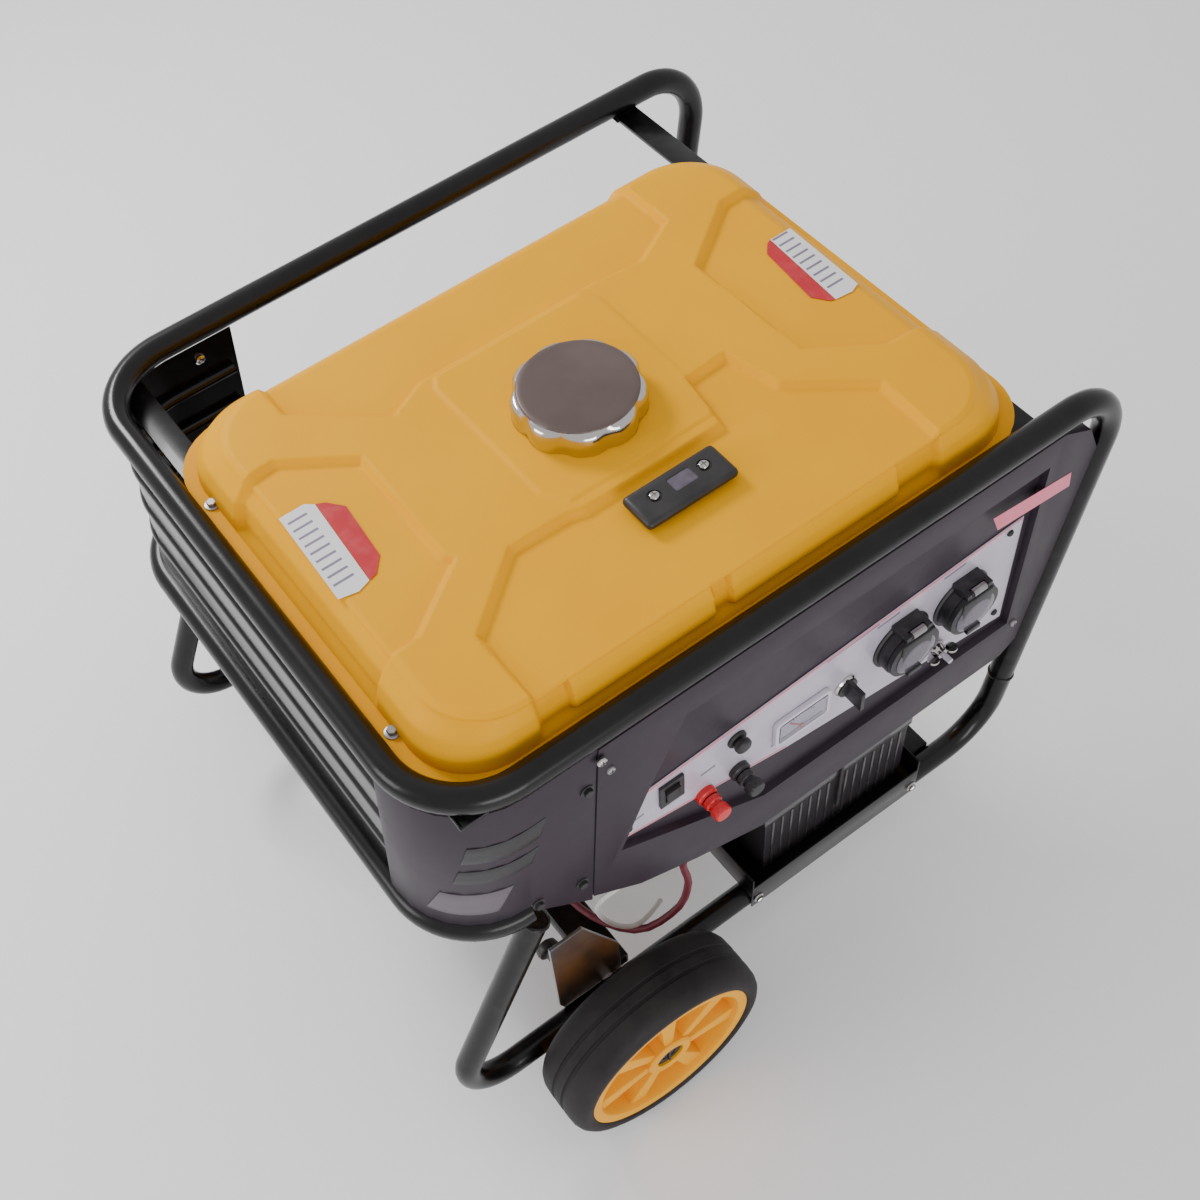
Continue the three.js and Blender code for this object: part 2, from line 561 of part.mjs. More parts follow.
function panelOutline() {
  const left = (z) => PANEL_LEFT + leanBy(z);
  const low = PANEL_LOW_Z;
  const cornerLow = COVER_TOP - 52; // where the rounded top corner starts
  return [[left(COVER_TOP), COVER_TOP], [left(GUARD_LOW_Z + 12), GUARD_LOW_Z + 12], [-174, low + 58], [-110, low + 29],
    [-30, low], [FRAME_RIGHT - 82, low], [panelRightX(low + 14), low + 14], [panelRightX(cornerLow), cornerLow],
    [panelRightX(cornerLow) - 16, COVER_TOP - 18], [panelRightX(cornerLow) - 50, COVER_TOP]];
}
function panelBezel() {
  const plate = alongY(outline(panelOutline()), PANEL_FRONT, PANEL_BACK);
  const pocket = alongY(
    outline([[-192, 410], [-162, 478], [-120, 560], [FRAME_RIGHT - 85, 560], [FRAME_RIGHT - 85, 324], [-30, 324]]),
    PANEL_FRONT - 1, FLOOR_Y,
  );
  return cut(plate, pocket, ...instrumentHoles(FLOOR_Y - 1, PANEL_BACK + 1));
}
const FACE_BACK = FLOOR_Y - GAP;
const FACE_FRONT = FACE_BACK - FACE_THICK;
const faceOutline = [[-190, 413], [-164, 467], [FRAME_RIGHT - 94, 494], [FRAME_RIGHT - 90, 334], [0, 372]];
function panelFace() {
  const sheet = alongY(outline(faceOutline), FACE_FRONT, FACE_BACK);
  const posts = [...POST_AT, GROUND_AT].flatMap(([x, z], i) => [
    rodY(i < 2 ? 9 : 8, FACE_FRONT - (i < 2 ? 8 : 4), FACE_FRONT + 0.5, x, z, 16),
    rodY(3, FACE_FRONT - (i < 2 ? 20 : 24), FACE_FRONT + 0.5, x, z, 12),
  ]);
  return join(cut(sheet, ...instrumentHoles(FACE_FRONT - 1, FACE_BACK + 1)), ...posts);
}
add("panel_bezel", panelBezel(), COVER_GREY);
add("panel_face", panelFace(), LABEL_SILVER);

const SEAT_Y = FACE_FRONT - GAP; // the front of the panel face, where instruments rest
function rockerSwitch() {
  const [x, z] = ROCKER_AT;
  const shell = join(
    box(x - 9.5, x + 9.5, SEAT_Y, SEAT_Y + 22, z - 13, z + 13),
    box(x - ROCKER_W / 2 - 2, x + ROCKER_W / 2 + 2, SEAT_Y - 3, SEAT_Y, z - ROCKER_H / 2 - 2, z + ROCKER_H / 2 + 2),
  );
  return cut(shell, box(x - 7.5, x + 7.5, SEAT_Y - 4, SEAT_Y + 12, z - 11, z + 11));
}
function rockerKey() {
  const [x, z] = ROCKER_AT;
  const arm = outline([[-9.5, SEAT_Y - 6], [0, SEAT_Y - 3.5], [9.5, SEAT_Y - 6], [8.5, SEAT_Y + 1], [0, SEAT_Y + 6],
    [-8.5, SEAT_Y + 1]].map(([a, b]) => [b, z + a]));
  // It rests in the off position, tilted about the middle of the switch.
  return alongX(arm, x - 7, x + 7)
    .translate(0, -SEAT_Y, -z)
    .rotateX(THREE.MathUtils.degToRad(ROCKER_TILT))
    .translate(0, SEAT_Y, z);
}
add("rocker_switch_case", rockerSwitch(), BLACK_PLASTIC);
add("rocker_switch_key", rockerKey(), BLACK_PLASTIC);
function postNut([x, z]) {
  const start = FACE_FRONT - 8 - GAP;
  return cut(
    rodY(POST_R, start - 20, start, x, z, 14),
    rodY(3 + SLIP, start - 14, start + 1, x, z, 12),
  );
}
add("terminal_nut_red", postNut(POST_AT[0]), RED_PLASTIC);
add("terminal_nut_black", postNut(POST_AT[1]), BLACK_PLASTIC);
function breakerButton() {
  const head = SEAT_Y - 12;
  return join(rodY(BUTTON_R, head, head + 6, ...BUTTON_AT, 20), rodY(5, head + 5, PANEL_BACK + 10, ...BUTTON_AT, 12));
}
add("breaker_button", breakerButton(), BLACK_PLASTIC);
const METER_FRONT = SEAT_Y - 5;
const DIAL_Y = METER_FRONT + 3; // the dial, behind the window opening
const NEEDLE_Z = METER_AT[1] - 11;
function voltmeter() {
  const [x, z] = METER_AT;
  const rim = alongY(
    roundedBox(x - METER_W / 2, x + METER_W / 2, z - METER_H / 2, z + METER_H / 2, 5), METER_FRONT, SEAT_Y, 3,
  );
  const body = box(x - 25, x + 25, SEAT_Y - 1, PANEL_BACK + 14, z - 13, z + 13);
  const dial = alongY(
    roundedBox(x - METER_W / 2 + 4, x + METER_W / 2 - 4, z - METER_H / 2 + 4, z + METER_H / 2 - 4, 3),
    METER_FRONT - 1, DIAL_Y, 3,
  );
  return join(cut(join(rim, body), dial), rodY(1.2, METER_FRONT + 1, DIAL_Y + 1, x, NEEDLE_Z, 8));
}
add("voltmeter", voltmeter(), METER_WHITE);
function voltmeterNeedle() {
  const back = DIAL_Y - 0.6;
  const upright = cut(
    join(rodY(2.6, back - 1, back, 0, 0, 12), box(-0.6, 0.6, back - 1, back, 1, 23)),
    rodY(1.2 + GAP, back - 2, back + 1, 0, 0, 8),
  );
  return geometryOf(upright)
    .rotateY(-THREE.MathUtils.degToRad(NEEDLE_HALF_SWING))
    .translate(METER_AT[0], 0, NEEDLE_Z);
}
add("voltmeter_needle", voltmeterNeedle(), RED_PLASTIC);
function startKey() {
  const [x, z] = KEY_AT;
  return join(
    rodY(11, SEAT_Y - 5, SEAT_Y, x, z, 20),
    rodY(6, SEAT_Y - 1, PANEL_BACK + 12, x, z, 12),
    box(x - 2.2, x + 2.2, SEAT_Y - 24, SEAT_Y - 4, z - 13, z + 13),
  );
}
add("start_key", startKey(), BLACK_PLASTIC);
const LID_BACK = SEAT_Y - 14; // sockets stand this far out, with the flip covers in front
const HINGE_Z = SOCKET_Z + SOCKET_R + 2;
const HINGE_Y = LID_BACK - 3.5;
SOCKET_X.forEach((x, i) => {
  const side = ["left", "right"][i];
  const body = join(
    rodY(SOCKET_R, LID_BACK + GAP, SEAT_Y, x, SOCKET_Z, 28),
    rodY(22, SEAT_Y - 1, PANEL_BACK + 22, x, SOCKET_Z, 28),
    box(x - 15, x + 15, LID_BACK + GAP, SEAT_Y, SOCKET_Z, HINGE_Z + 3),
    box(x - 15, x - 9.5, HINGE_Y - 2.4, LID_BACK + 1, HINGE_Z - 2.4, HINGE_Z + 3),
    box(x + 9.5, x + 15, HINGE_Y - 2.4, LID_BACK + 1, HINGE_Z - 2.4, HINGE_Z + 3),
    rodX(1.5, x - 10, x + 10, HINGE_Y, HINGE_Z, 8),
  );
  const recess = rodY(20, LID_BACK - 1, SEAT_Y + 18, x, SOCKET_Z, 28);
  add(`socket_${side}`, cut(body, recess), BLACK_PLASTIC);
  const lid = join(
    rodY(SOCKET_R - 1, LID_BACK - 5, LID_BACK, x, SOCKET_Z, 28),
    box(x - 8.5, x + 8.5, LID_BACK - 5, LID_BACK, SOCKET_Z + 20, HINGE_Z - 2),
    rodX(3, x - 9, x + 9, HINGE_Y, HINGE_Z, 12),
    box(x - 8, x + 8, LID_BACK - 9, LID_BACK - 4, SOCKET_Z - SOCKET_R + 2, SOCKET_Z - SOCKET_R + 8),
  );
  add(`socket_cover_${side}`, cut(lid, rodX(1.5 + SLIP, x - 12, x + 12, HINGE_Y, HINGE_Z, 8)), BLACK_PLASTIC);
});
function wingNut() {
  const [x, z] = GROUND_AT;
  const start = FACE_FRONT - 4 - GAP;
  return cut(
    join(
      rodY(7, start - 9, start, x, z, 14),
      box(x - 19, x - 5, start - 13, start - 3, z - 2, z + 2),
      box(x + 5, x + 19, start - 13, start - 3, z - 2, z + 2),
    ),
    rodY(3 + SLIP, start - 30, start + 1, x, z, 12),
  );
}
add("ground_wing_nut", wingNut(), CHROME);

// ---------------------------------------------------------------- battery
const TRAY_FLOOR = SKID_Z + TUBE_R + GAP;
function batteryTray() {
  const [x0, x1] = [BATTERY.x[0] - 30, BATTERY.x[1] + 8];
  const y1 = BATTERY.y[1] + 4;
  const lip = -FRAME_HALF_Y - TUBE_R - GAP;
  return join(
    box(x0, x1, lip - TRAY_WALL, y1 + TRAY_WALL, TRAY_FLOOR, TRAY_FLOOR + TRAY_WALL),
    box(x0, x1, lip - TRAY_WALL, lip, SKID_Z - 6, TRAY_FLOOR + 22),
    box(x0, x1, y1, y1 + TRAY_WALL, TRAY_FLOOR, TRAY_FLOOR + 40),
    box(x0, x0 + TRAY_WALL, lip - TRAY_WALL, y1, TRAY_FLOOR, TRAY_FLOOR + 40),
    box(x1 - TRAY_WALL, x1, lip - TRAY_WALL, y1, TRAY_FLOOR, TRAY_FLOOR + 40),
  );
}
add("battery_tray", batteryTray(), FRAME_BLACK);
function battery() {
  const low = TRAY_FLOOR + TRAY_WALL + GAP;
  const { x, y, h } = BATTERY;
  const z1 = low + h;
  return join(
    box(x[0], x[1], y[0], y[1], low, z1 - 14),
    box(x[0] - 3, x[1] + 3, y[0] - 2, y[1] + 2, z1 - 34, z1 - 14),
    box(x[0] + 6, x[0] + 20, y[1] - 24, y[1] - 8, z1 - 15, z1),
    box(x[1] - 20, x[1] - 6, y[1] - 24, y[1] - 8, z1 - 15, z1),
  );
}
add("battery", battery(), BATTERY_GREY);

// ---------------------------------------------------------------- engine
const MOUNT_TOP = RAIL_TOP + GAP + MOUNT_H;
const CASE_LOW = MOUNT_TOP + GAP;
for (const [place, x, y] of [["front_left", RAIL_X[0], -80], ["rear_left", RAIL_X[0], 80],
  ["front_right", RAIL_X[1] - 4, -80], ["rear_right", RAIL_X[1] - 4, 80]])
  add(`rubber_mount_${place}`, rodZ(MOUNT_R, RAIL_TOP + GAP, MOUNT_TOP, x, y, 16), RUBBER);

const FILLER_AT = [-170, 200];
const TERMINAL_AT = [-205, 190];
function crankcase() {
  const section = outline([[-118, CASE_LOW], [118, CASE_LOW], [118, CASE_LOW + 14], [104, CASE_LOW + 20],
    [104, 300], [70, 330], [20, 352], [-40, 352], [-104, 300], [-104, CASE_LOW + 20], [-118, CASE_LOW + 14]]);
  return cut(
    alongX(section, CASE_X[0], CASE_X[1]),
    rodX(SHAFT_R + 1, CASE_X[0] - 1, CASE_X[1] + 1, 0, CRANK_Z, 24),
    rodX(72, CASE_X[0] + 14, CASE_X[1] - 14, 0, CRANK_Z, 24),
    tilted(rodZ(40, 60, 140, 0, 0, 20)),
    rodY(11, -130, -60, ...FILLER_AT, 16),
  );
}
const CYLINDER_X = -180;
// Turns a piece drawn upright over the crank axis to the cylinder's lean.
function tilted(geometry) {
  return geometry
    .rotateX(-THREE.MathUtils.degToRad(CYLINDER_TILT))
    .translate(CYLINDER_X, 0, CRANK_Z);
}
function finnedCylinder() {
  const [low, high, fins] = [96, 168, 7];
  const pitch = (high - low) / fins;
  let body = solid(box(-46, 46, -46, 46, low, high));
  for (let k = 0; k < fins; k++)
    body = body.add(solid(box(-66, 66, -66, 66, low + k * pitch + 4, low + k * pitch + 7)));
  body = body.subtract(solid(rodZ(40, low - 1, high - 12, 0, 0, 24)));
  return tilted(geometryOf(body));
}
function rockerCover() {
  const [low, high] = [168 + GAP, 206];
  return tilted(loft([
    roundRing([0, 0], [52, 58], 12, low, 2), roundRing([0, 0], [52, 58], 12, low + 10, 2),
    roundRing([0, 0], [46, 48], 12, low + 11, 2), roundRing([0, 0], [43, 45], 12, high, 2),
  ]));
}
const cylinderSeat = () => tilted(box(-68, 68, -68, 68, 96 - GAP, 240));
add("crankcase", cut(crankcase(), cylinderSeat()), CAST);
add("cylinder", finnedCylinder(), CAST);
add("rocker_cover", rockerCover(), BLACK_PLASTIC);

const FLYWHEEL_X = [-300, -276];
function crankshaft() {
  return join(
    rodX(SHAFT_R, FLYWHEEL_X[0] - 6, ALTERNATOR_END_X + 24, 0, CRANK_Z, 20),
    rodX(96, ...FLYWHEEL_X, 0, CRANK_Z, 32),
    rodX(45, CYLINDER_X - 28, CYLINDER_X - 14, 0, CRANK_Z, 20),
    rodX(45, CYLINDER_X + 14, CYLINDER_X + 28, 0, CRANK_Z, 20),
    rodX(ROTOR_R, CASE_X[1] + 45, ALTERNATOR_END_X - 40, 0, CRANK_Z, 24),
  );
}
add("crankshaft_rotor", crankshaft(), CAST);

const BLOWER_X = [-334, CASE_X[0] - GAP];
function blowerHousing() {
  const [x0, x1] = BLOWER_X;
  const wall = 2.5;
  const profile = [[0, 0], [BLOWER_R - 14, 0], [BLOWER_R, 12], [BLOWER_R, x1 - x0], [BLOWER_R - wall, x1 - x0],
    [BLOWER_R - wall, 13], [BLOWER_R - 15, wall], [0, wall]];
  const cup = turned(profile, 36).rotateZ(-Math.PI / 2).translate(x0, 0, CRANK_Z);
  const slots = [];
  for (let k = 0; k < 12; k++)
    slots.push(box(x0 - 1, x0 + wall + 1, 34, 78, -4, 4).rotateX((k * Math.PI) / 6).translate(0, 0, CRANK_Z));
  const grip = box(x0 - 1, x0 + wall + 1, ...RECOIL_SLOT_Y, GRIP_Z - 4, GRIP_Z + 4);
  return cut(cup, ...slots, grip);
}
const GRIP_Z = 352;
const RECOIL_SLOT_Y = [-34, -26];
function recoilGrip() {
  const x = BLOWER_X[0] - GAP;
  const bar = alongX(roundedBox(-62, 2, GRIP_Z - 9, GRIP_Z + 9, 8), x - 16, x, 3);
  return join(bar, rodX(3.4, x - 2, x + 10, -30, GRIP_Z, 10));
}
add("blower_housing", blowerHousing(), FRAME_BLACK);
add("recoil_grip", recoilGrip(), BLACK_PLASTIC);

function oilFillerCap() {
  const [x, z] = FILLER_AT;
  const face = -104 - GAP;
  return join(rodY(15, face - 14, face, x, z, 12), rodY(10, face - 1, -70, x, z, 16));
}
add("oil_filler_cap", oilFillerCap(), BLACK_PLASTIC);

// Intake on the front of the cylinder, exhaust on the rear.
const INTAKE_Y = -24;
const CARB_Z = 424;
function carburettor() {
  return join(
    box(-205, -155, INTAKE_Y - 44, INTAKE_Y, CARB_Z - 22, CARB_Z + 16),
    rodZ(17, CARB_Z - 44, CARB_Z - 20, -180, INTAKE_Y - 22, 16),
    rodX(3, -155, -146, INTAKE_Y - 22, CARB_Z, 10),
  );
}
function chokeLever() {
  const x = -155 + SLIP;
  const y = INTAKE_Y - 22;
  return cut(
    join(rodX(7, x, x + 5, y, CARB_Z, 14), box(x, x + 4, y - 40, y - 4, CARB_Z - 3, CARB_Z + 3)),
    rodX(3 + SLIP, x - 1, x + 8, y, CARB_Z, 10),
  );
}
function airCleaner() {
  const y1 = INTAKE_Y - 44 - GAP;
  const shell = join(
    alongX(roundedBox(y1 - 112, y1 - 26, 392, 488, 14), -270, -110, 3),
    rodY(15, y1 - 27, y1, -180, CARB_Z, 16),
  );
  return shell;
}
const MUFFLER = { x: [-150, 70], y: 196, z: 402, r: 54 };
function muffler() {
  const { x, y, z, r } = MUFFLER;
  const shell = rodX(r, x[0], x[1], y, z, 28);
  const outlet = rodY(12, y, 268, x[1] - 40, z + 10, 16);
  const outletBore = rodY(10, y + 20, 280, x[1] - 40, z + 10, 16);
  const pipe = rodY(14, 128, y, CYLINDER_X + 60, z + 8, 16);
  return cut(join(shell, outlet, pipe), outletBore);
}
add("carburettor", carburettor(), ZINC);
add("choke_lever", chokeLever(), BLACK_PLASTIC);
add("air_cleaner", airCleaner(), BLACK_PLASTIC);
add("muffler", muffler(), CAST);

// ---------------------------------------------------------------- alternator
function alternatorHousing() {
  const x0 = CASE_X[1] + GAP;
  const x1 = ALTERNATOR_END_X;
  const profile = [[ALTERNATOR_R - 26, 0], [ALTERNATOR_R, 0], [ALTERNATOR_R, 30], [ALTERNATOR_R - 6, 34],
    [ALTERNATOR_R - 6, x1 - x0 - 40], [ALTERNATOR_R, x1 - x0 - 36], [ALTERNATOR_R, x1 - x0], [SHAFT_R + 1, x1 - x0 + 34],
    [SHAFT_R + 1, x1 - x0 + 16], [ALTERNATOR_R - 26, x1 - x0 - 8], [ALTERNATOR_R - 26, 0]];
  const barrel = turned(profile, 32).rotateZ(-Math.PI / 2).translate(x0, 0, CRANK_Z);
  const foot = box(x1 - 40, RAIL_X[1] + 16, -100, 100, CASE_LOW, CASE_LOW + 8);
  const web = box(x1 - 36, x1 - 4, -70, 70, CASE_LOW + 1, CRANK_Z - ALTERNATOR_R + 26);
  const hollow = rodX(ALTERNATOR_R - 26, x0 - 1, x1 - 8, 0, CRANK_Z, 32);
  return join(barrel, foot, cut(web, hollow));
}
add("alternator_housing", alternatorHousing(), CAST);
// ---------------------------------------------------------------- wiring held in the frame
const CABLE_R = 4;
const CABLE_START_Y = PANEL_BACK + CABLE_R + 0.5; // clipped to the back of the panel
const CABLE_ROUTE = [[-104, CABLE_START_Y, 300], [-114, CABLE_START_Y, 262], [-108, 9 - FRAME_HALF_Y, 210],
  [-120, 11 - FRAME_HALF_Y, 165], [-158, 26 - FRAME_HALF_Y, 137], [-186, 65 - FRAME_HALF_Y, 136], [-200, -170, 152], [-204, -136, 176], [-205, -119, 188]];
function batteryCable() {
  const route = new THREE.CatmullRomCurve3(CABLE_ROUTE.map((p) => new THREE.Vector3(...p)));
  const steps = 24;
  const list = [];
  for (let k = 0; k <= steps; k++)
    list.push({ at: route.getPointAt(k / steps), along: route.getTangentAt(k / steps) });
  return sweep(ring(CABLE_R), list, 4);
}
add("starter_cable", batteryCable(), RED_PLASTIC);

const outlineBox = new THREE.Box3().setFromObject(generator);
const middle = outlineBox.getCenter(new THREE.Vector3());
for (const mesh of generator.children) mesh.geometry.translate(-middle.x, -middle.y, -outlineBox.min.z);

export default generator;
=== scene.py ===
import json
import math
from contextlib import contextmanager

import bpy
from mathutils import Matrix, Vector

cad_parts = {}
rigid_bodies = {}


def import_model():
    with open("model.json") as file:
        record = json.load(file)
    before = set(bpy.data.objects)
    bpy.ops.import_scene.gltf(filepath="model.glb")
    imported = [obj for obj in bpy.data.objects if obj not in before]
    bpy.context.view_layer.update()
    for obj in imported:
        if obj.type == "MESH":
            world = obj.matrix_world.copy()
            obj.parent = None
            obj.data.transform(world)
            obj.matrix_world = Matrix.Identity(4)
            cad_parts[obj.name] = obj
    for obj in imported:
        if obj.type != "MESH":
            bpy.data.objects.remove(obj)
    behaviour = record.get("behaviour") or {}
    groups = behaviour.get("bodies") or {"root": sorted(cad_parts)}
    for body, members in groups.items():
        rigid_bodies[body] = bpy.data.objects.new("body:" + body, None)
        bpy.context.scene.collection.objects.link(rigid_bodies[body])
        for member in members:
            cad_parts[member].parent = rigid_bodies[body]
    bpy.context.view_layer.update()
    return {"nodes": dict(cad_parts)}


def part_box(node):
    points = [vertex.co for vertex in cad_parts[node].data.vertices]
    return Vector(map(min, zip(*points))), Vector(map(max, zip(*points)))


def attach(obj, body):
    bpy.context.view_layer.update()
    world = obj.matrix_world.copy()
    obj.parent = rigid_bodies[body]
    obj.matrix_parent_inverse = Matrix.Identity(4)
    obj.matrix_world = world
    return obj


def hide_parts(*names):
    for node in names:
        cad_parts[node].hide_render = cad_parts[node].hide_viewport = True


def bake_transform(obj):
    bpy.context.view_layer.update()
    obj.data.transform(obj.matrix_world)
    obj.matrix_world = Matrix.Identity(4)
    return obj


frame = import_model()

MM = 0.001
IN_SCENE = bpy.context.scene.collection.objects
# The part was drawn in millimetres from the middle of its top loop; this is where that middle went.
DRAWN_BATTERY_LEFT = -17
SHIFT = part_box("battery")[0][0] - DRAWN_BATTERY_LEFT * MM


def spot(x, y, z):
    """A drawn place, in millimetres, as a point in the row frame."""
    return Vector((x * MM + SHIFT, y * MM, z * MM))


# ---------- directions, and drawn sizes in millimetres
FORWARD, BACKWARD, LEFTWARD, RIGHTWARD, UP = (0, -1, 0), (0, 1, 0), (-1, 0, 0), (1, 0, 0), (0, 0, 1)
CORNER_ANGLES = [math.radians(45 + 90 * k) for k in range(4)]
TUBE_R = 12.7
FRAME_LEFT, FRAME_RIGHT, FRAME_HALF_Y, TOP_Z, LOWER_Z = -345, 364, 290, 612, 407
LEAN_OUT, UPRIGHT_SLOPE, LEG_SLOPE = 18, 0.148, 0.5
SKID_Z = 115
WHEEL_X, WHEEL_FACE_Y, TYRE_WIDTH = -210, 384, 70
FACE_Y = -290.3  # front of the panel's face sheet
PANEL_Y = -297  # front of the panel's moulding
TANK_TOP_Z = 654
CAP_AT = (-38, -53)
GAUGE_AT = (-27, -174)
CRANK_Z = 268


# ---------- camera and light
def set_camera():
    data = bpy.data.cameras.new("view")
    data.sensor_width = 36
    data.lens = 47.447
    data.shift_x = 0.05
    data.shift_y = 0.0333
    data.clip_end = 60
    across = Vector((0.81001, -0.5805, -0.08306))
    down = Vector((-0.51997, -0.6455, -0.55943))
    along = Vector((0.27113, 0.49634, -0.8247))
    turn = Matrix((across, -down, -along)).transposed().to_4x4()
    camera = bpy.data.objects.new("view", data)
    camera.matrix_world = Matrix.Translation(spot(-522.7, -813.0, 1635.6)) @ turn
    IN_SCENE.link(camera)
    bpy.context.scene.camera = camera


def soft_light(name, place, aim, size, power):
    data = bpy.data.lights.new(name, "AREA")
    data.shape = "RECTANGLE"
    data.size, data.size_y = size
    data.energy = power
    lamp = bpy.data.objects.new(name, data)
    lamp.location = place
    lamp.rotation_euler = (Vector(aim) - Vector(place)).to_track_quat("-Z", "Y").to_euler()
    IN_SCENE.link(lamp)


def set_light():
    world = bpy.data.worlds.new("studio")
    world.use_nodes = True
    world.node_tree.nodes["Background"].inputs[0].default_value = (1, 1, 1, 1)
    world.node_tree.nodes["Background"].inputs[1].default_value = 0.8
    bpy.context.scene.world = world
    soft_light("overhead", (-0.5, 1.7, 1.9), (0, 0, 0.45), (0.7, 0.5), 34)
    soft_light("front", (-0.6, -2.6, 1.0), (0, 0, 0.35), (1.6, 0.8), 24)
    soft_light("left", (-2.4, 0.4, 1.4), (0, 0, 0.4), (0.9, 0.9), 16)


# ---------- shader groups
def colour(r, g, b):
    """Screen colour, 0 to 255, as the linear colour that a shader takes."""
    def linear(c):
        c /= 255
        return c / 12.92 if c <= 0.04045 else ((c + 0.055) / 1.055) ** 2.4
    return (linear(r), linear(g), linear(b), 1.0)


def feed(tree, socket, value):
    """Link a socket to another one, or set its value."""
    if isinstance(value, bpy.types.NodeSocket):
        tree.links.new(value, socket)
    else:
        socket.default_value = value


class Tree:
    """A short way to place nodes and join them."""

    def __init__(self, tree):
        self.tree = tree

    def node(self, kind, settings=None, **inputs):
        made = self.tree.nodes.new(kind)
        for key, value in (settings or {}).items():
            setattr(made, key, value)
        for key, value in inputs.items():
            socket = made.inputs[int(key[1:])] if key[0] == "i" and key[1:].isdigit() else made.inputs[key]
            feed(self.tree, socket, value)
        return made

    def math(self, operation, a, b=0.0, clamp=False):
        return self.node("ShaderNodeMath", {"operation": operation, "use_clamp": clamp}, i0=a, i1=b).outputs[0]

    def noise(self, place, scale, detail=3.0):
        return self.node("ShaderNodeTexNoise", None, Vector=place, Scale=scale, Detail=detail).outputs["Fac"]

    def ramp(self, value, low, high):
        made = self.node("ShaderNodeMapRange", {"clamp": True}, i0=value, i1=low, i2=high, i3=0.0, i4=1.0)
        return made.outputs[0]

    def mix(self, amount, first, second):
        made = self.node("ShaderNodeMix", {"data_type": "RGBA"}, i0=amount)
        feed(self.tree, made.inputs[6], first)
        feed(self.tree, made.inputs[7], second)
        return made.outputs[2]


def new_group(name, inputs, outputs):
    group = bpy.data.node_groups.new(name, "ShaderNodeTree")
    for label, value in inputs.items():
        socket = group.interface.new_socket(name=label, in_out="INPUT", socket_type="NodeSocketFloat")
        socket.default_value = value
    for label in outputs:
        group.interface.new_socket(name=label, in_out="OUTPUT", socket_type="NodeSocketFloat")
    tree = Tree(group)
    given = group.nodes.new("NodeGroupInput").outputs
    result = group.nodes.new("NodeGroupOutput").inputs
    place = group.nodes.new("ShaderNodeTexCoord").outputs["Object"]
    return group, tree, given, result, place


def edge_wear_group():
    group, tree, given, result, place = new_group("edge_wear", {"Reach": 12.0, "Patchiness": 90.0}, ["Worn"])
    point = group.nodes.new("ShaderNodeNewGeometry").outputs["Pointiness"]
    edge = tree.math("MULTIPLY", tree.math("SUBTRACT", point, 0.52), given["Reach"], clamp=True)
    patches = tree.ramp(tree.noise(place, given["Patchiness"], 4.0), 0.45, 0.7)
    group.links.new(tree.math("MULTIPLY", edge, patches), result["Worn"])
    return group


def grain_group():
    group, tree, given, result, place = new_group("surface_grain", {"Scale": 400.0}, ["Height", "Patches"])
    fine = tree.noise(place, given["Scale"], 3.0)
    broad = tree.noise(place, tree.math("MULTIPLY", given["Scale"], 0.03), 3.0)
    group.links.new(fine, result["Height"])
    group.links.new(broad, result["Patches"])
    return group


def dust_group():
    group, tree, given, result, place = new_group("settled_dust", {"Amount": 0.2}, ["Dust"])
    normal = group.nodes.new("ShaderNodeNewGeometry").outputs["Normal"]
    up = tree.node("ShaderNodeSeparateXYZ", None, Vector=normal).outputs["Z"]
    patches = tree.ramp(tree.noise(place, 22.0, 5.0), 0.35, 0.75)
    lying = tree.math("MULTIPLY", tree.ramp(up, 0.1, 0.95), patches)
    group.links.new(tree.math("MULTIPLY", lying, given["Amount"], clamp=True), result["Dust"])
    return group


EDGE_WEAR = edge_wear_group()
GRAIN = grain_group()
DUST = dust_group()


def new_material(name):
    material = bpy.data.materials.new(name)
    material.use_nodes = True
    return material, Tree(material.node_tree), material.node_tree.nodes["Principled BSDF"].inputs


def finish(name, slot, base, second, worn, rough, grain, bump, wear, dust, *, rough_spread=0.08, metal=0.0, coat=0.0,
        specular=0.5):
    """A painted, moulded or metal finish with grain, patchy colour, worn edges and a little dust."""
    material, tree, sockets = new_material(name)
    sockets["Metallic"].default_value = metal
    sockets["Coat Weight"].default_value = coat
    sockets["Coat Roughness"].default_value = 0.08
    sockets["Specular IOR Level"].default_value = specular
    effect = lambda which, **values: tree.node("ShaderNodeGroup", {"node_tree": which}, **values).outputs
    grains = effect(GRAIN, Scale=grain)
    patches = tree.ramp(grains["Patches"], 0.3, 0.7)
    painted = tree.mix(patches, colour(*base), colour(*second))
    worn_mask = tree.math("MULTIPLY", effect(EDGE_WEAR, Reach=9.0)["Worn"], wear)
    edged = tree.mix(worn_mask, painted, colour(*worn))
    dusty = effect(DUST, Amount=dust)["Dust"]
    feed(tree.tree, sockets["Base Color"], tree.mix(dusty, edged, colour(128, 119, 108)))
    spread = tree.math("MULTIPLY", tree.math("SUBTRACT", patches, 0.5), rough_spread)
    softened = tree.math("ADD", tree.math("ADD", spread, rough), tree.math("MULTIPLY", dusty, 0.4), clamp=True)
    feed(tree.tree, sockets["Roughness"], softened)
    bumps = tree.node("ShaderNodeBump", None, Strength=0.35, Distance=bump * MM * 10, Height=grains["Height"])
    feed(tree.tree, sockets["Normal"], bumps.outputs[0])
    return material


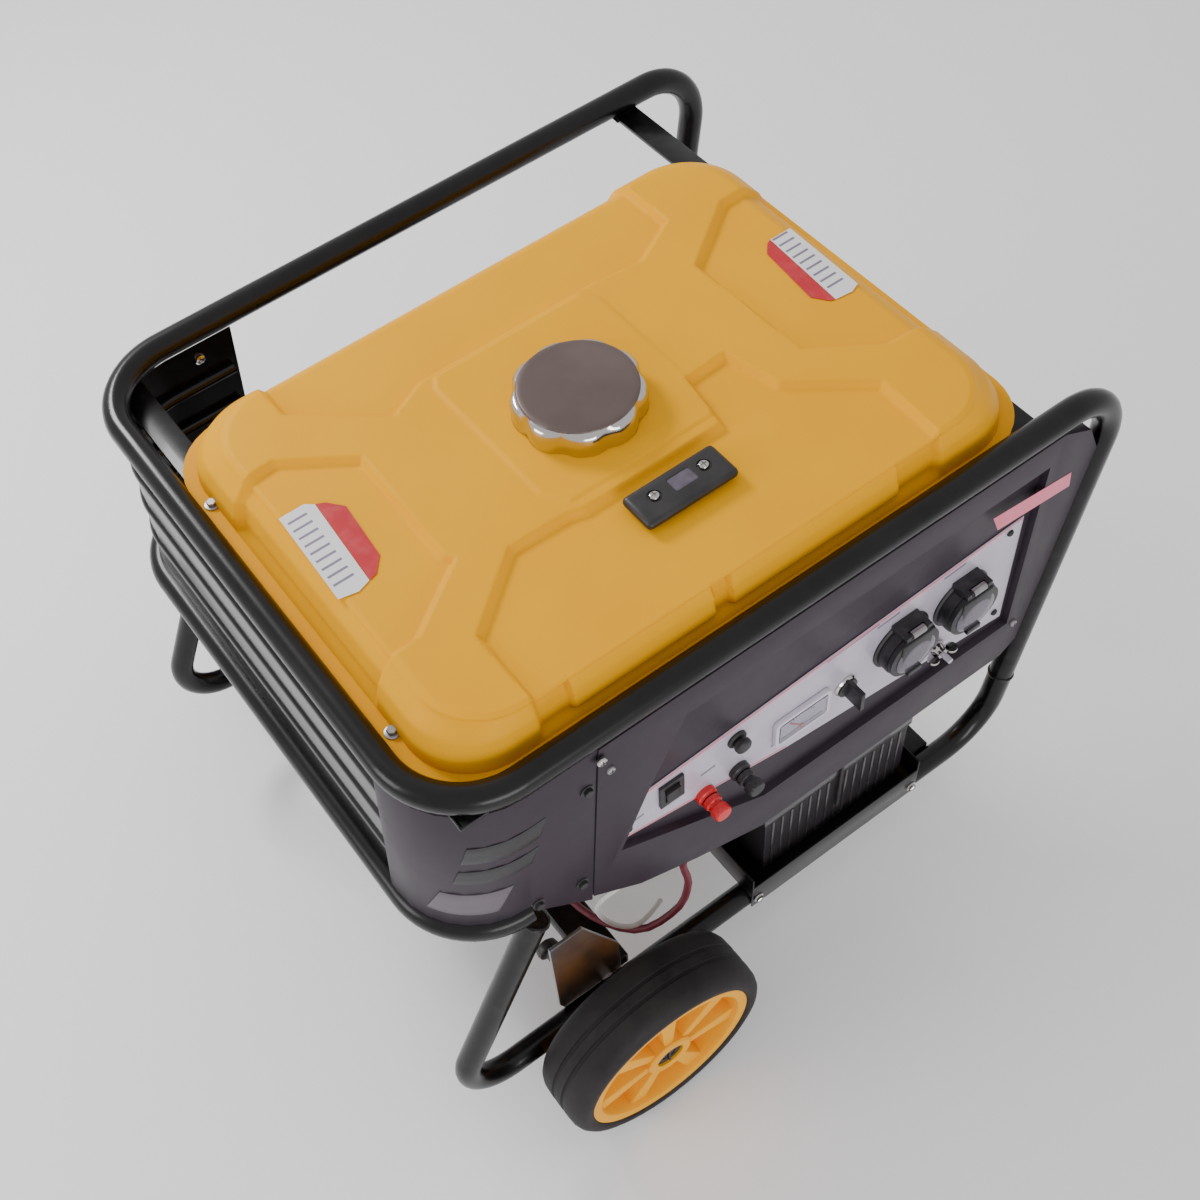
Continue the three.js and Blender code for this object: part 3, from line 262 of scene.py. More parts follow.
# name, slot, colour, second colour, worn colour, roughness, grain, depth of grain, wear, dust
PRINTED = (900, 0.002, 0.1, 0.02)
SHEATH = (500, 0.01, 0.2, 0.05)
FRAME_BLACK = finish("frame_gloss_black", "frame_paint", (5, 4, 6), (10, 8, 10), (70, 66, 64), 0.28, 260, 0.006,
    0.25, 0.02, coat=0.1, specular=0.3)
SHEET_BLACK = finish("sheet_gloss_black", "black_sheet", (6, 5, 7), (11, 9, 11), (60, 56, 56), 0.22, 240, 0.006, 0.1,
    0.01, coat=0.15, specular=0.3)
COVER_GREY = finish("cover_dark_grey", "cover_sheet", (42, 33, 43), (49, 39, 49), (84, 76, 84), 0.45, 900, 0.02,
    0.12, 0.02, specular=0.3)
TANK_YELLOW = finish("tank_yellow", "tank_paint", (238, 166, 0), (242, 172, 0), (246, 190, 70), 0.45, 300, 0.004,
    0.2, 0.0, specular=0.08)
WHEEL_YELLOW = finish("wheel_yellow", "wheel_plastic", (236, 162, 0), (240, 168, 0), (243, 190, 90), 0.5, 700, 0.01,
    0.3, 0.02, specular=0.2)
TYRE_RUBBER = finish("tyre_rubber", "tyre", (27, 24, 27), (36, 32, 34), (70, 64, 64), 0.62, 900, 0.05, 0.5, 0.08,
    specular=0.25)
PAD_RUBBER = finish("pad_rubber", "rubber", (30, 28, 30), (40, 38, 40), (80, 76, 76), 0.7, 900, 0.04, 0.4, 0.2)
CHROME = finish("chrome_plate", "chrome", (196, 192, 190), (206, 202, 200), (225, 222, 220), 0.12, 300, 0.003, 0.3,
    0.03, metal=1.0, rough_spread=0.05)
CAP_TOP_GREY = finish("cap_brushed_top", "chrome", (92, 78, 75), (104, 88, 84), (190, 184, 180), 0.42, 600, 0.01,
    0.3, 0.03, metal=0.35)
ZINC = finish("zinc_plate", "steel", (150, 146, 150), (168, 164, 166), (200, 198, 198), 0.34, 500, 0.01, 0.4, 0.08,
    metal=0.9)
CAST_ALLOY = finish("cast_alloy", "cast_alloy", (150, 150, 154), (166, 166, 170), (200, 200, 204), 0.5, 800, 0.06,
    0.5, 0.15, metal=0.7)
BARE_STEEL = finish("muffler_steel", "muffler_steel", (126, 120, 116), (150, 140, 130), (190, 184, 178), 0.45, 350,
    0.02, 0.4, 0.12, metal=0.85)
LABEL_SILVER = finish("label_silver", "panel_label", (190, 182, 197), (200, 192, 206), (220, 214, 224), 0.34, 1200,
    0.004, 0.1, 0.03, metal=0.15)
BLACK_PLASTIC = finish("black_plastic", "black_plastic", (26, 24, 27), (34, 32, 35), (90, 86, 90), 0.42, 1100, 0.03,
    0.35, 0.06)
DULL_BLACK = finish("dull_black_cover", "black_sheet", (20, 19, 21), (28, 26, 28), (80, 76, 78), 0.55, 700, 0.03,
    0.3, 0.1)
RED_PLASTIC = finish("red_plastic", "red_plastic", (206, 20, 26), (216, 28, 32), (240, 140, 140), 0.3, 900, 0.01,
    0.3, 0.03)
CABLE_RED = finish("cable_dull_red", "red_plastic", (104, 34, 50), (116, 42, 58), (190, 130, 138), 0.45, *SHEATH)
CABLE_WHITE = finish("cable_white", "meter_case", (206, 202, 200), (216, 212, 210), (230, 228, 226), 0.45, *SHEATH)
CABLE_GREEN = finish("cable_green", "panel_label", (120, 138, 110), (134, 150, 122), (190, 200, 180), 0.45, *SHEATH)
CABLE_BLACK = finish("cable_black", "rubber", (28, 26, 28), (36, 34, 36), (80, 78, 80), 0.5, *SHEATH)
STRIPE_PINK = finish("stripe_pink", "red_plastic", (222, 104, 128), (228, 116, 138), (240, 190, 200), 0.35, *PRINTED)
LABEL_WHITE = finish("label_white", "meter_case", (226, 222, 226), (232, 228, 232), (240, 238, 240), 0.35, *PRINTED)
LABEL_RED = finish("label_red", "red_plastic", (186, 24, 38), (194, 30, 44), (230, 140, 150), 0.35, *PRINTED)
PRINT_GREY = finish("print_grey", "meter_case", (120, 110, 128), (130, 120, 138), (170, 160, 176), 0.4, *PRINTED)
METER_PALE = finish("meter_pale", "meter_case", (206, 200, 212), (214, 208, 220), (235, 232, 238), 0.32, 900, 0.004,
    0.2, 0.03)
# Smoke grey for the gauge lens and the lid tabs; the same colour also paints the reflection on the socket lids.
SMOKE_GREY_AND_SHEEN = finish("smoke_grey_and_painted_sheen", "black_plastic", (74, 66, 80), (88, 80, 94), (170, 164, 176), 0.25, 900, 0.004,
    0.3, 0.03, coat=0.3)
BATTERY_SMOKE = finish("battery_smoke", "battery_case", (40, 37, 40), (56, 52, 55), (150, 144, 152), 0.3, 120, 0.02,
    0.3, 0.05, coat=0.3)
BADGE_GREY = finish("badge_grey", "meter_case", (84, 74, 84), (92, 82, 92), (150, 140, 150), 0.4, *PRINTED)
BRASS = finish("brass_parts", "steel", (176, 146, 84), (188, 158, 96), (220, 200, 150), 0.3, 500, 0.01, 0.3, 0.05,
    metal=0.9)


# ---------- making and finishing pieces
def only(obj=None):
    bpy.ops.object.select_all(action="DESELECT")
    if obj:
        obj.select_set(True)
        bpy.context.view_layer.objects.active = obj


def place_fixed(obj):
    only(obj)
    bpy.ops.object.transform_apply(location=True, rotation=True, scale=True)
    return obj


@contextmanager
def editing(obj):
    """Edit mode on one object, with all of its mesh selected."""
    only(obj)
    bpy.ops.object.mode_set(mode="EDIT")
    bpy.ops.mesh.select_all(action="SELECT")
    yield
    bpy.ops.object.mode_set(mode="OBJECT")


def cleaned(obj, merge=0.00002, outward=True):
    with editing(obj):
        bpy.ops.mesh.remove_doubles(threshold=merge)
        if outward:
            bpy.ops.mesh.normals_make_consistent(inside=False)
    return obj


def applied(obj, kind, **settings):
    """The object after one modifier with these settings."""
    only(obj)
    modifier = obj.modifiers.new("step", kind)
    for key, value in settings.items():
        setattr(modifier, key, value)
    bpy.ops.object.modifier_apply(modifier=modifier.name)
    return obj


def edges_rounded(obj, width, segments=2, angle=35):
    return applied(obj, "BEVEL", width=width * MM, segments=segments, limit_method="ANGLE",
        angle_limit=math.radians(angle))


def thickened(obj, thick, offset=1):
    return applied(obj, "SOLIDIFY", thickness=thick * MM, offset=offset)


def cut_by(obj, cutter):
    applied(obj, "BOOLEAN", operation="DIFFERENCE", object=cutter, solver="EXACT")
    bpy.data.objects.remove(cutter)


def joined(pieces):
    only(pieces[0])
    for piece in pieces:
        piece.select_set(True)
    if len(pieces) > 1:
        bpy.ops.object.join()
    return bpy.context.view_layer.objects.active


def done(obj, name, material, body="frame", stands_for=(), smooth=32):
    """Name, smooth and paint a piece, and let it ride with its body."""
    place_fixed(obj)
    obj.name = name
    obj.data.name = name
    bpy.ops.object.shade_smooth_by_angle(angle=math.radians(smooth))
    obj.data.materials.clear()
    obj.data.materials.append(material)
    if body:
        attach(obj, body)
    if stands_for:
        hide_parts(*stands_for)
    return obj


def group(pieces, *says, **more):
    return done(joined(pieces), *says, **more)


def stand_in(node, name, material, edge=0.0, segments=2, angle=35, body="frame", smooth=32):
    """A rounded copy of a frame node, in its place."""
    return done(copy_of(node, edge, segments, angle), name, material, body, [node], smooth)


def block(low, high, edge=0.6, segments=2):
    """A block between two drawn corners, with rounded edges."""
    only()
    low, high = Vector(low), Vector(high)
    bpy.ops.mesh.primitive_cube_add(size=1, location=spot(*((low + high) / 2)), scale=(high - low) * MM)
    obj = place_fixed(bpy.context.active_object)
    return edges_rounded(obj, edge, segments) if edge else obj


def facing(place, direction):
    turn = Vector(direction).normalized().to_track_quat("Z", "Y").to_matrix().to_4x4()
    return Matrix.Translation(spot(*place)) @ turn


def turned(rings, place, direction=UP, around=32, edge=0.0):
    """A turned solid: rings of (radius, distance) from a place along a direction."""
    only()
    (radius, start), rest = rings[0], rings[1:]
    bpy.ops.mesh.primitive_circle_add(vertices=around, radius=radius * MM, fill_type="NGON")
    obj = bpy.context.active_object
    with editing(obj):
        bpy.ops.transform.translate(value=(0, 0, start * MM))
        for wider, far in rest:
            bpy.ops.mesh.extrude_region_move(TRANSFORM_OT_translate={"value": (0, 0, (far - start) * MM)})
            share = wider / radius
            bpy.ops.transform.resize(value=(share, share, 1), center_override=(0, 0, far * MM))
            radius, start = wider, far
    obj.matrix_world = facing(place, direction)
    place_fixed(obj)
    cleaned(obj, 0.000001)
    return edges_rounded(obj, edge, 2, 40) if edge else obj


def hoop(section, place, direction=BACKWARD, around=64):
    """A ring swept round an axis from a closed section of (radius, distance) points."""
    only()
    bpy.ops.mesh.primitive_circle_add(vertices=len(section), radius=0.01)
    obj = bpy.context.active_object
    for vertex, (radius, far) in zip(obj.data.vertices, section):
        vertex.co = (radius * MM, 0, far * MM)
    with editing(obj):
        bpy.ops.mesh.spin(steps=around, angle=2 * math.pi, center=(0, 0, 0), axis=UP)
    obj.matrix_world = facing(place, direction)
    place_fixed(obj)
    return cleaned(obj, 0.000005)


def copy_of(node, edge=0.0, segments=2, angle=35):
    """A merged copy of a frame node, with its edges rounded."""
    mesh = frame["nodes"][node].data.copy()
    obj = bpy.data.objects.new(node + "_copy", mesh)
    IN_SCENE.link(obj)
    only(obj)
    if mesh.has_custom_normals:
        bpy.ops.mesh.customdata_custom_splitnormals_clear()
    cleaned(obj, 0.00001)
    with editing(obj):
        bpy.ops.mesh.dissolve_limited(angle_limit=math.radians(1))
    return edges_rounded(obj, edge, segments, angle) if edge else obj


def bent_line(corners, bend, step=6):
    """Points along straight runs joined by round bends."""
    corners = [Vector(c) for c in corners]
    bends = bend if isinstance(bend, (list, tuple)) else [bend] * (len(corners) - 2)
    line = [corners[0]]
    for before, here, after, r in zip(corners, corners[1:], corners[2:], bends):
        into, out = (here - before).normalized(), (after - here).normalized()
        turn = into.angle(out)
        side = (out - into * into.dot(out)).normalized()
        start = here - into * r * math.tan(turn / 2)
        steps = max(3, round(math.degrees(turn) / step))
        for k in range(steps + 1):
            a = turn * k / steps
            line.append(start + into * r * math.sin(a) + side * r * (1 - math.cos(a)))
    line.append(corners[-1])
    return line


def pipe(line, radius, smooth_line=False, sides=6):
    """A round bar or hose along drawn points, closed at its ends."""
    curve = bpy.data.curves.new("line", "CURVE")
    curve.dimensions = "3D"
    curve.bevel_depth = radius * MM
    curve.bevel_resolution = sides
    curve.use_fill_caps = True
    if smooth_line:
        spline = curve.splines.new("NURBS")
        spline.points.add(len(line) - 1)
        spline.order_u = 4
        spline.use_endpoint_u = True
        curve.resolution_u = 8
    else:
        spline = curve.splines.new("POLY")
        spline.points.add(len(line) - 1)
    for point, place in zip(spline.points, line):
        point.co = (*spot(*place), 1)
    obj = bpy.data.objects.new("line", curve)
    IN_SCENE.link(obj)
    only(obj)
    bpy.ops.object.convert(target="MESH")
    return cleaned(bpy.context.active_object, 0.000001)


def hex_bolt(place, direction, across=5.0, washer=True):
    """A hexagon head on a washer."""
    pieces = []
    if washer:
        pieces.append(turned([(across * 1.45, 0), (across * 1.45, 1.0), (across * 1.3, 1.3)], place, direction, 24))
    pieces.append(turned([(across, 0.9), (across, 4.2), (across * 0.86, 4.9)], place, direction, 6))
    return joined(pieces)


def pan_screw(place, direction, r=4.0):
    """A round screw head with a cross slot."""
    head = turned([(r, 0), (r, r * 0.35), (r * 0.86, r * 0.62), (r * 0.5, r * 0.78)], place, direction, 24)
    matrix = facing(place, direction)
    for turn in (0, math.pi / 2):
        only()
        bpy.ops.mesh.primitive_cube_add(size=1, scale=(r * 1.2 * MM, r * 0.26 * MM, r * MM))
        saw = bpy.context.active_object
        turned_saw = Matrix.Rotation(turn, 4, "Z") @ Matrix.Diagonal((*saw.scale, 1))
        saw.matrix_world = matrix @ Matrix.Translation((0, 0, r * 0.85 * MM)) @ turned_saw
        place_fixed(saw)
        cut_by(head, saw)
    return head


# ---------- frame tubes
def upright_x(z):
    return FRAME_RIGHT - UPRIGHT_SLOPE * (TOP_Z - z)


LOWER_LEFT = FRAME_LEFT - LEAN_OUT
LEG_TOP_Z = LOWER_Z - TUBE_R - 14
LEG_TOP_X = LOWER_LEFT + 75 + 7
SKID_LEFT = LEG_TOP_X - LEG_SLOPE * (LEG_TOP_Z - SKID_Z)
JOINT_Z = 205


def frame_tubes():
    y = FRAME_HALF_Y
    top = pipe(bent_line([(upright_x(JOINT_Z), -y, JOINT_Z), (FRAME_RIGHT, -y, TOP_Z), (FRAME_LEFT, -y, TOP_Z),
        (FRAME_LEFT, y, TOP_Z), (FRAME_RIGHT, y, TOP_Z), (upright_x(JOINT_Z), y, JOINT_Z)], [60, 75, 75, 60]),
        TUBE_R)
    done(top, "frame_top_loop", FRAME_BLACK, stands_for=["top_frame_tube"])
    end = LOWER_LEFT + 77
    done(pipe(bent_line([(end, -y, LOWER_Z), (LOWER_LEFT, -y, LOWER_Z), (LOWER_LEFT, y, LOWER_Z), (end, y, LOWER_Z)],
        75), TUBE_R), "frame_lower_loop", FRAME_BLACK, stands_for=["lower_frame_tube"])
    beads = []
    for side, name in ((-1, "front"), (1, "rear")):
        done(pipe(bent_line([(upright_x(JOINT_Z - 0.3), side * y, JOINT_Z - 0.3),
            (upright_x(SKID_Z), side * y, SKID_Z), (SKID_LEFT, side * y, SKID_Z),
            (LEG_TOP_X - 0.5, side * y, LEG_TOP_Z - 1)], [65, 50]), TUBE_R), name + "_skid", FRAME_BLACK,
            stands_for=[name + "_skid_tube"])
        bead = [(TUBE_R - 1, -2), (TUBE_R + 0.9, -1.4), (TUBE_R + 1.3, 0), (TUBE_R + 0.9, 1.4), (TUBE_R - 1, 2)]
        lean = (UPRIGHT_SLOPE, 0, 1)
        beads.append(hoop(bead, (upright_x(JOINT_Z), side * y, JOINT_Z), lean, 40))
        beads.append(hoop(bead, (LEG_TOP_X - 1.2, side * y, LEG_TOP_Z - 2.4), (LEG_SLOPE, 0, 1), 40))
        for x in (-325.5, -301.5, 251, 277):
            beads.append(pipe([(x, side * 278, 598.4), (x, side * 282, 598.6), (x, side * 288, 598.8)], 1.6, sides=2))
    group(beads, "weld_beads", FRAME_BLACK, smooth=60)
    done(pipe(bent_line([(205, -90, 104.5), (205, -90, 27), (205, 90, 27), (205, 90, 104.5)], 35), TUBE_R),
        "support_leg_bar", FRAME_BLACK, stands_for=["support_leg"])
    for node in ("left_cross_rail", "right_cross_rail", "tank_bar_left", "tank_bar_right"):
        stand_in(node, node + "_piece", FRAME_BLACK, 0.8)
    for side, yy in (("front", -45), ("rear", 45)):
        done(turned([(15.5, 0), (17, 1.5), (17, 9), (15, 12), (13.5, 13.8)], (205, yy, 0), around=32),
            "foot_pad_" + side + "_piece", PAD_RUBBER, stands_for=["foot_pad_" + side])


# ---------- fuel tank
# outline half sizes, corner radius, height and shift of the tank's shape, from its top down to its seam
TANK_RINGS = [(0.80, 264, 198, 52, 654.0, -5, -13), (0.835, 270, 203, 56, 651.5, -4, -11),
    (0.87, 274, 205, 60, 647.0, -3, -8), (0.91, 287, 214, 62, 634.0, -2, -4), (0.955, 294, 221, 60, 617.0, 0, 0),
    (1.0, 296, 222, 60, 603.2, 0, 0)]
TANK_MIDDLE = (-24, -47)
SUNK_PADS = [[(-340, 58), (-270, 64), (-210, 20), (-212, -107), (-208, -117), (-270, -160), (-340, -164)],
    [(-235, 200), (-235, 104), (-163, 41), (-125, 60), (60, 60), (110, 54), (158, 80), (158, 200)],
    [(-234, -300), (-234, -189), (-167, -136), (-112, -138), (-100, -142), (42, -142), (50, -85), (93, -82),
    (106, -138), (171, -190), (167, -300)], [(300, 70), (213, 67), (143, 17), (147, -119), (206, -161),
    (300, -164)]]
CAP_PANEL = [(-113, 54), (41, 54), (52, 40), (52, -118), (40, -130), (-104, -130), (-118, -108), (-120, 42)]


def rounded_place(u, v, hx, hy, r):
    """Where the point (u, v) on a square's edge lies on a rounded rectangle."""
    x, y = hx * u, hy * v
    over_x, over_y = abs(x) - (hx - r), abs(y) - (hy - r)
    if over_x > 0 and over_y > 0:
        length = math.hypot(over_x, over_y)
        x = math.copysign(hx - r + r * over_x / length, x)
        y = math.copysign(hy - r + r * over_y / length, y)
    return x, y


def inside_by(x, y, polygon):
    """How far a point is inside a closed outline, negative outside."""
    nearest, inside = 1e9, False
    for (ax, ay), (bx, by) in zip(polygon, polygon[1:] + polygon[:1]):
        dx, dy = bx - ax, by - ay
        t = max(0, min(1, ((x - ax) * dx + (y - ay) * dy) / (dx * dx + dy * dy)))
        nearest = min(nearest, math.hypot(x - ax - t * dx, y - ay - t * dy))
        if (ay > y) != (by > y) and x < ax + (y - ay) * dx / dy:
            inside = not inside
    return nearest if inside else -nearest


def eased(value):
    value = max(0, min(1, value))
    return value * value * (3 - 2 * value)


def pressed_relief(x, y):
    """Height of the pressed shapes on the tank's skin, along its normal."""
    height = 0
    for pad in SUNK_PADS:
        height -= 7.0 * eased((inside_by(x, y, pad) + 2.5) / 6)
    height += 1.7 * eased((inside_by(x, y, CAP_PANEL) + 1.5) / 3)
    return height


def front_ledges(x, t):
    """The two raised ledges along the front shoulder, and the slits at their ends."""
    along = max(eased((x + 205) / 4) * eased((-62 - x) / 4), eased((x + 50) / 4) * eased((128 - x) / 4))
    upper = eased((t - 0.80) / 0.012) * eased((0.975 - t) / 0.012)
    lower = eased((t - 0.868) / 0.010) * eased((0.975 - t) / 0.012)
    return along * (3.4 * upper + 2.6 * lower)


def tank_top():
    only()
    rows = 300
    bpy.ops.mesh.primitive_grid_add(x_subdivisions=rows, y_subdivisions=rows, size=2)
    obj = bpy.context.active_object
    for vertex in obj.data.vertices:
        u, v = vertex.co.x, vertex.co.y
        t = max(abs(u), abs(v), 1e-9)
        su, sv = u / t, v / t
        if t <= TANK_RINGS[0][0]:
            share = t / TANK_RINGS[0][0]
            _, hx, hy, r, z, sx, sy = TANK_RINGS[0]
            hx, hy = hx * share, hy * share
            x, y = rounded_place(su, sv, hx, hy, min(r * share, hx, hy))
            level = 1.0 * (1 - share * share)
        else:
            k = next(i for i, ring in enumerate(TANK_RINGS) if t <= ring[0] + 1e-9)
            a, b = TANK_RINGS[k - 1], TANK_RINGS[k]
            share = (t - a[0]) / (b[0] - a[0])
            _, hx, hy, r, z, sx, sy = [p + (q - p) * share for p, q in zip(a, b)]
            x, y = rounded_place(su, sv, hx, hy, r)
            level = 0
        x, y = x + TANK_MIDDLE[0] + sx, y + TANK_MIDDLE[1] + sy
        steep = eased((t - 0.80) / 0.11)
        outward = Vector((su if abs(su) > abs(sv) else su ** 7, sv if abs(sv) > abs(su) else sv ** 7, 0)).normalized()
        normal = (Vector(UP) * (1 - steep) + outward * steep).normalized()
        pressed = pressed_relief(x, y) if t < 0.8 else min(0, pressed_relief(x, y))
        if sv < -0.99:
            pressed += front_ledges(x, t) * (0.25 if t < 0.868 else 1)
        pressed *= eased((1.0 - t) / 0.03)
        vertex.co = spot(x + normal.x * pressed, y + normal.y * pressed, z + level + normal.z * pressed)
    cutter = turned([(38, -30), (38, 30)], (*CAP_AT, TANK_TOP_Z), around=48)
    flange = copy_rim()
    cut_by(obj, cutter)
    neck = hoop([(38, -12), (40, -12), (40, 7), (39, 8), (38, 7)], (*CAP_AT, TANK_TOP_Z), UP, 48)
    group([cleaned(obj, 0.000001, False), flange, neck], "tank_shell_top", TANK_YELLOW,
        stands_for=["tank_upper_shell"], smooth=40)


def copy_rim():
    """The flange round the tank, a rounded plate with its middle open."""
    low, high = 601.4, 603.0
    only()
    bpy.ops.mesh.primitive_grid_add(x_subdivisions=40, y_subdivisions=40, size=2)
    obj = bpy.context.active_object
    bpy.ops.object.mode_set(mode="EDIT")
    bpy.ops.mesh.select_all(action="DESELECT")
    bpy.ops.mesh.select_mode(type="FACE")
    bpy.ops.object.mode_set(mode="OBJECT")
    for face in obj.data.polygons:
        face.select = max(abs(face.center.x), abs(face.center.y)) < 0.9
    bpy.ops.object.mode_set(mode="EDIT")
    bpy.ops.mesh.delete(type="FACE")
    bpy.ops.object.mode_set(mode="OBJECT")
    for vertex in obj.data.vertices:
        u, v = vertex.co.x, vertex.co.y
        t = max(abs(u), abs(v))
        share = (t - 0.9) / 0.1
        hx, hy = 290 + 17 * share, 216 + 13 * share
        x, y = rounded_place(u / t, v / t, hx, hy, 60)
        vertex.co = spot(x + TANK_MIDDLE[0], y + TANK_MIDDLE[1], low)
    return thickened(obj, high - low)


def tank_bottom():
    stand_in("tank_lower_shell", "tank_shell_bottom", TANK_YELLOW, 1.2, 2, 30, smooth=50)
    group([hex_bolt((x, y, 603.2), UP, 4.6) for x in (-322, 274) for y in (-190, 100)], "tank_bolts", ZINC)


def fuel_cap():
    around, lobes = 144, 9
    body = turned([(57, 656.3), (58, 658), (58, 671), (57, 676), (55, 679), (53, 680), (50, 679.8), (46, 679.6),
        (45, 679.6)], (*CAP_AT, 0), around=around)
    centre = spot(*CAP_AT, 0)
    for vertex in body.data.vertices:
        flat = vertex.co.xy - centre.xy
        r = flat.length / MM
        if r > 51:
            wave = math.cos(lobes * math.atan2(flat.y, flat.x))
            flat.length -= 3.2 * MM * eased((r - 51) / 5) * (0.5 - 0.5 * wave) ** 2
            vertex.co.x, vertex.co.y = centre.x + flat.x, centre.y + flat.y
    done(body, "fuel_cap_skirt", CHROME, "fuel_cap_body", ["fuel_cap"], smooth=50)
    done(turned([(52, 679.6), (51.5, 681.2), (50, 681.9), (46, 681.9), (20, 681.9)], (*CAP_AT, 0), around=72),
        "fuel_cap_disc", CAP_TOP_GREY, "fuel_cap_body", smooth=50)


def gauge():
    x, y = GAUGE_AT
    plate = block((x - 46, y - 19, 650.5), (x + 46, y + 19, 660), 5.5, 4)
    for dx in (-24, 26):
        cut_by(plate, turned([(6.4, -1.2), (6.4, 4)], (x + dx, y + 3, 660), around=24))
    cut_by(plate, block((x - 8, y - 5, 658.8), (x + 16, y + 11, 666), 2.5, 3))
    done(plate, "gauge_plate", BLACK_PLASTIC, stands_for=["fuel_gauge"])
    group([pan_screw((x + dx, y + 3, 658.6), UP, 4.6) for dx in (-24, 26)], "gauge_screws", CHROME)
    done(block((x - 8, y - 5, 657.8), (x + 16, y + 11, 659.3), 0.6, 2), "gauge_lens", SMOKE_GREY_AND_SHEEN)


def flat_sheet(name, points, material, lift=0, thick=0.35, up=True):
    """A thin sheet over drawn points that lie on one face; lift is how far it stands off."""
    only()
    bpy.ops.mesh.primitive_circle_add(vertices=len(points), radius=0.01, fill_type="NGON")
    obj = bpy.context.active_object
    for vertex, point in zip(obj.data.vertices, points):
        vertex.co = spot(*point)
    cleaned(obj, 0.0000001)
    normal = obj.data.polygons[0].normal
    wanted = Vector(UP if up else FORWARD)
    if normal.dot(wanted) < 0:
        with editing(obj):
            bpy.ops.mesh.flip_normals()
    for vertex in obj.data.vertices:
        vertex.co += wanted * lift * MM
    return done(thickened(obj, thick), name, material)


def tank_labels():
    z = 647.8
    sheets = (("tank_label_left", LABEL_WHITE, ((-295, 12), (-271, 12), (-264, 6), (-270, -88), (-282, -92),
        (-299, -88))), ("tank_band_left", LABEL_RED, ((-263.5, 6), (-256, 2), (-245, -12), (-250, -72), (-262, -86),
        (-269.5, -88))), ("tank_label_right", LABEL_WHITE, ((217, 4), (240, 4), (238, -88), (228, -92), (211, -90))),
        ("tank_band_right", LABEL_RED, ((203, -8), (212, 2), (216.5, 4), (210.5, -90), (206, -88), (196, -74))))
    for name, shade, outline in sheets:
        flat_sheet(name, [(x, y, z) for x, y in outline], shade)
    lines = []
    for k in range(9):
        y = 2 - 9.6 * k
        for x0, x1 in ((-292, -274), (218, 235)):
            lines.append(block((x0 - k * 0.4, y - 1.2, z + 0.3), (x1 - k * 0.3, y + 1.2, z + 0.45), 0))
    group(lines, "tank_label_lines", PRINT_GREY)


def fuel_cock():
    stand_in("fuel_cock", "fuel_cock_piece", BLACK_PLASTIC, 0.8)
    stand_in("fuel_cock_lever", "fuel_cock_handle", RED_PLASTIC, 0.8, body="fuel_cock_lever_body")
    done(pipe([(-60, -205, 459), (-60, -204, 448), (-66, -196, 432), (-96, -150, 424), (-130, -100, 424),
        (-150, -62, 424), (-156, -48, 425)], 3.6, True), "fuel_hose", CABLE_BLACK)


# ---------- covers at the left end
def lean_by(z):
    return LEAN_OUT * (z - TOP_Z) / (TOP_Z - LOWER_Z)


def cover_line(corners, offset, z, step=6):
    """Points along the cover's sheet at one height, a distance outside the frame's centre line."""
    line = bent_line([(x, y, 0) for x, y in corners], 75, step)
    made = []
    for k, here in enumerate(line):
        before, after = line[max(0, k - 1)], line[min(len(line) - 1, k + 1)]
        along = (after - before).normalized()
        made.append((here.x - along.y * offset + lean_by(z), here.y + along.x * offset, z))
    return made


def side_cover():
    stand_in("side_panel", "side_sheet", SHEET_BLACK, smooth=40)
    corners = [(FRAME_LEFT, -198), (FRAME_LEFT, 290), (-206, 290)]
    group([pipe(cover_line(corners, -4.6, z), 6.5, sides=4) for z in (462, 506, 550)], "side_sheet_ridges",
        SHEET_BLACK, smooth=60)
    done(pan_screw((-240, 288.6, 578), FORWARD, 6.0), "side_sheet_inner_screw", CHROME)
    done(hoop([(7, 0), (11, 0), (11, 1.6), (7, 1.6)], (-240, 290.5, 580), BACKWARD, 32), "side_sheet_eyelet", ZINC)


def patch_on_cover(corners, stand, reach, heights, lean):
    """A thin raised patch that follows the cover's sheet between two lengths along it and two heights."""
    only()
    bpy.ops.mesh.primitive_grid_add(x_subdivisions=24, y_subdivisions=3, size=2)
    obj = bpy.context.active_object
    middle = (heights[0] + heights[1]) / 2
    line = cover_line(corners, stand, middle)
    lengths = [0]
    for a, b in zip(line, line[1:]):
        lengths.append(lengths[-1] + math.dist(a[:2], b[:2]))
    for vertex in obj.data.vertices:
        u, v = (vertex.co.x + 1) / 2, (vertex.co.y + 1) / 2
        z = heights[0] + (heights[1] - heights[0]) * v
        s = reach[0] + (reach[1] - reach[0]) * u + lean * (0.5 - v)
        k = max(i for i in range(len(lengths) - 1) if lengths[i] <= s)
        share = (s - lengths[k]) / (lengths[k + 1] - lengths[k])
        x = line[k][0] + (line[k + 1][0] - line[k][0]) * share
        y = line[k][1] + (line[k + 1][1] - line[k][1]) * share
        vertex.co = spot(x + lean_by(z) - lean_by(middle), y, z)
    return edges_rounded(cleaned(thickened(obj, 1.2, 0), 0.000001), 0.45, 2, 50)


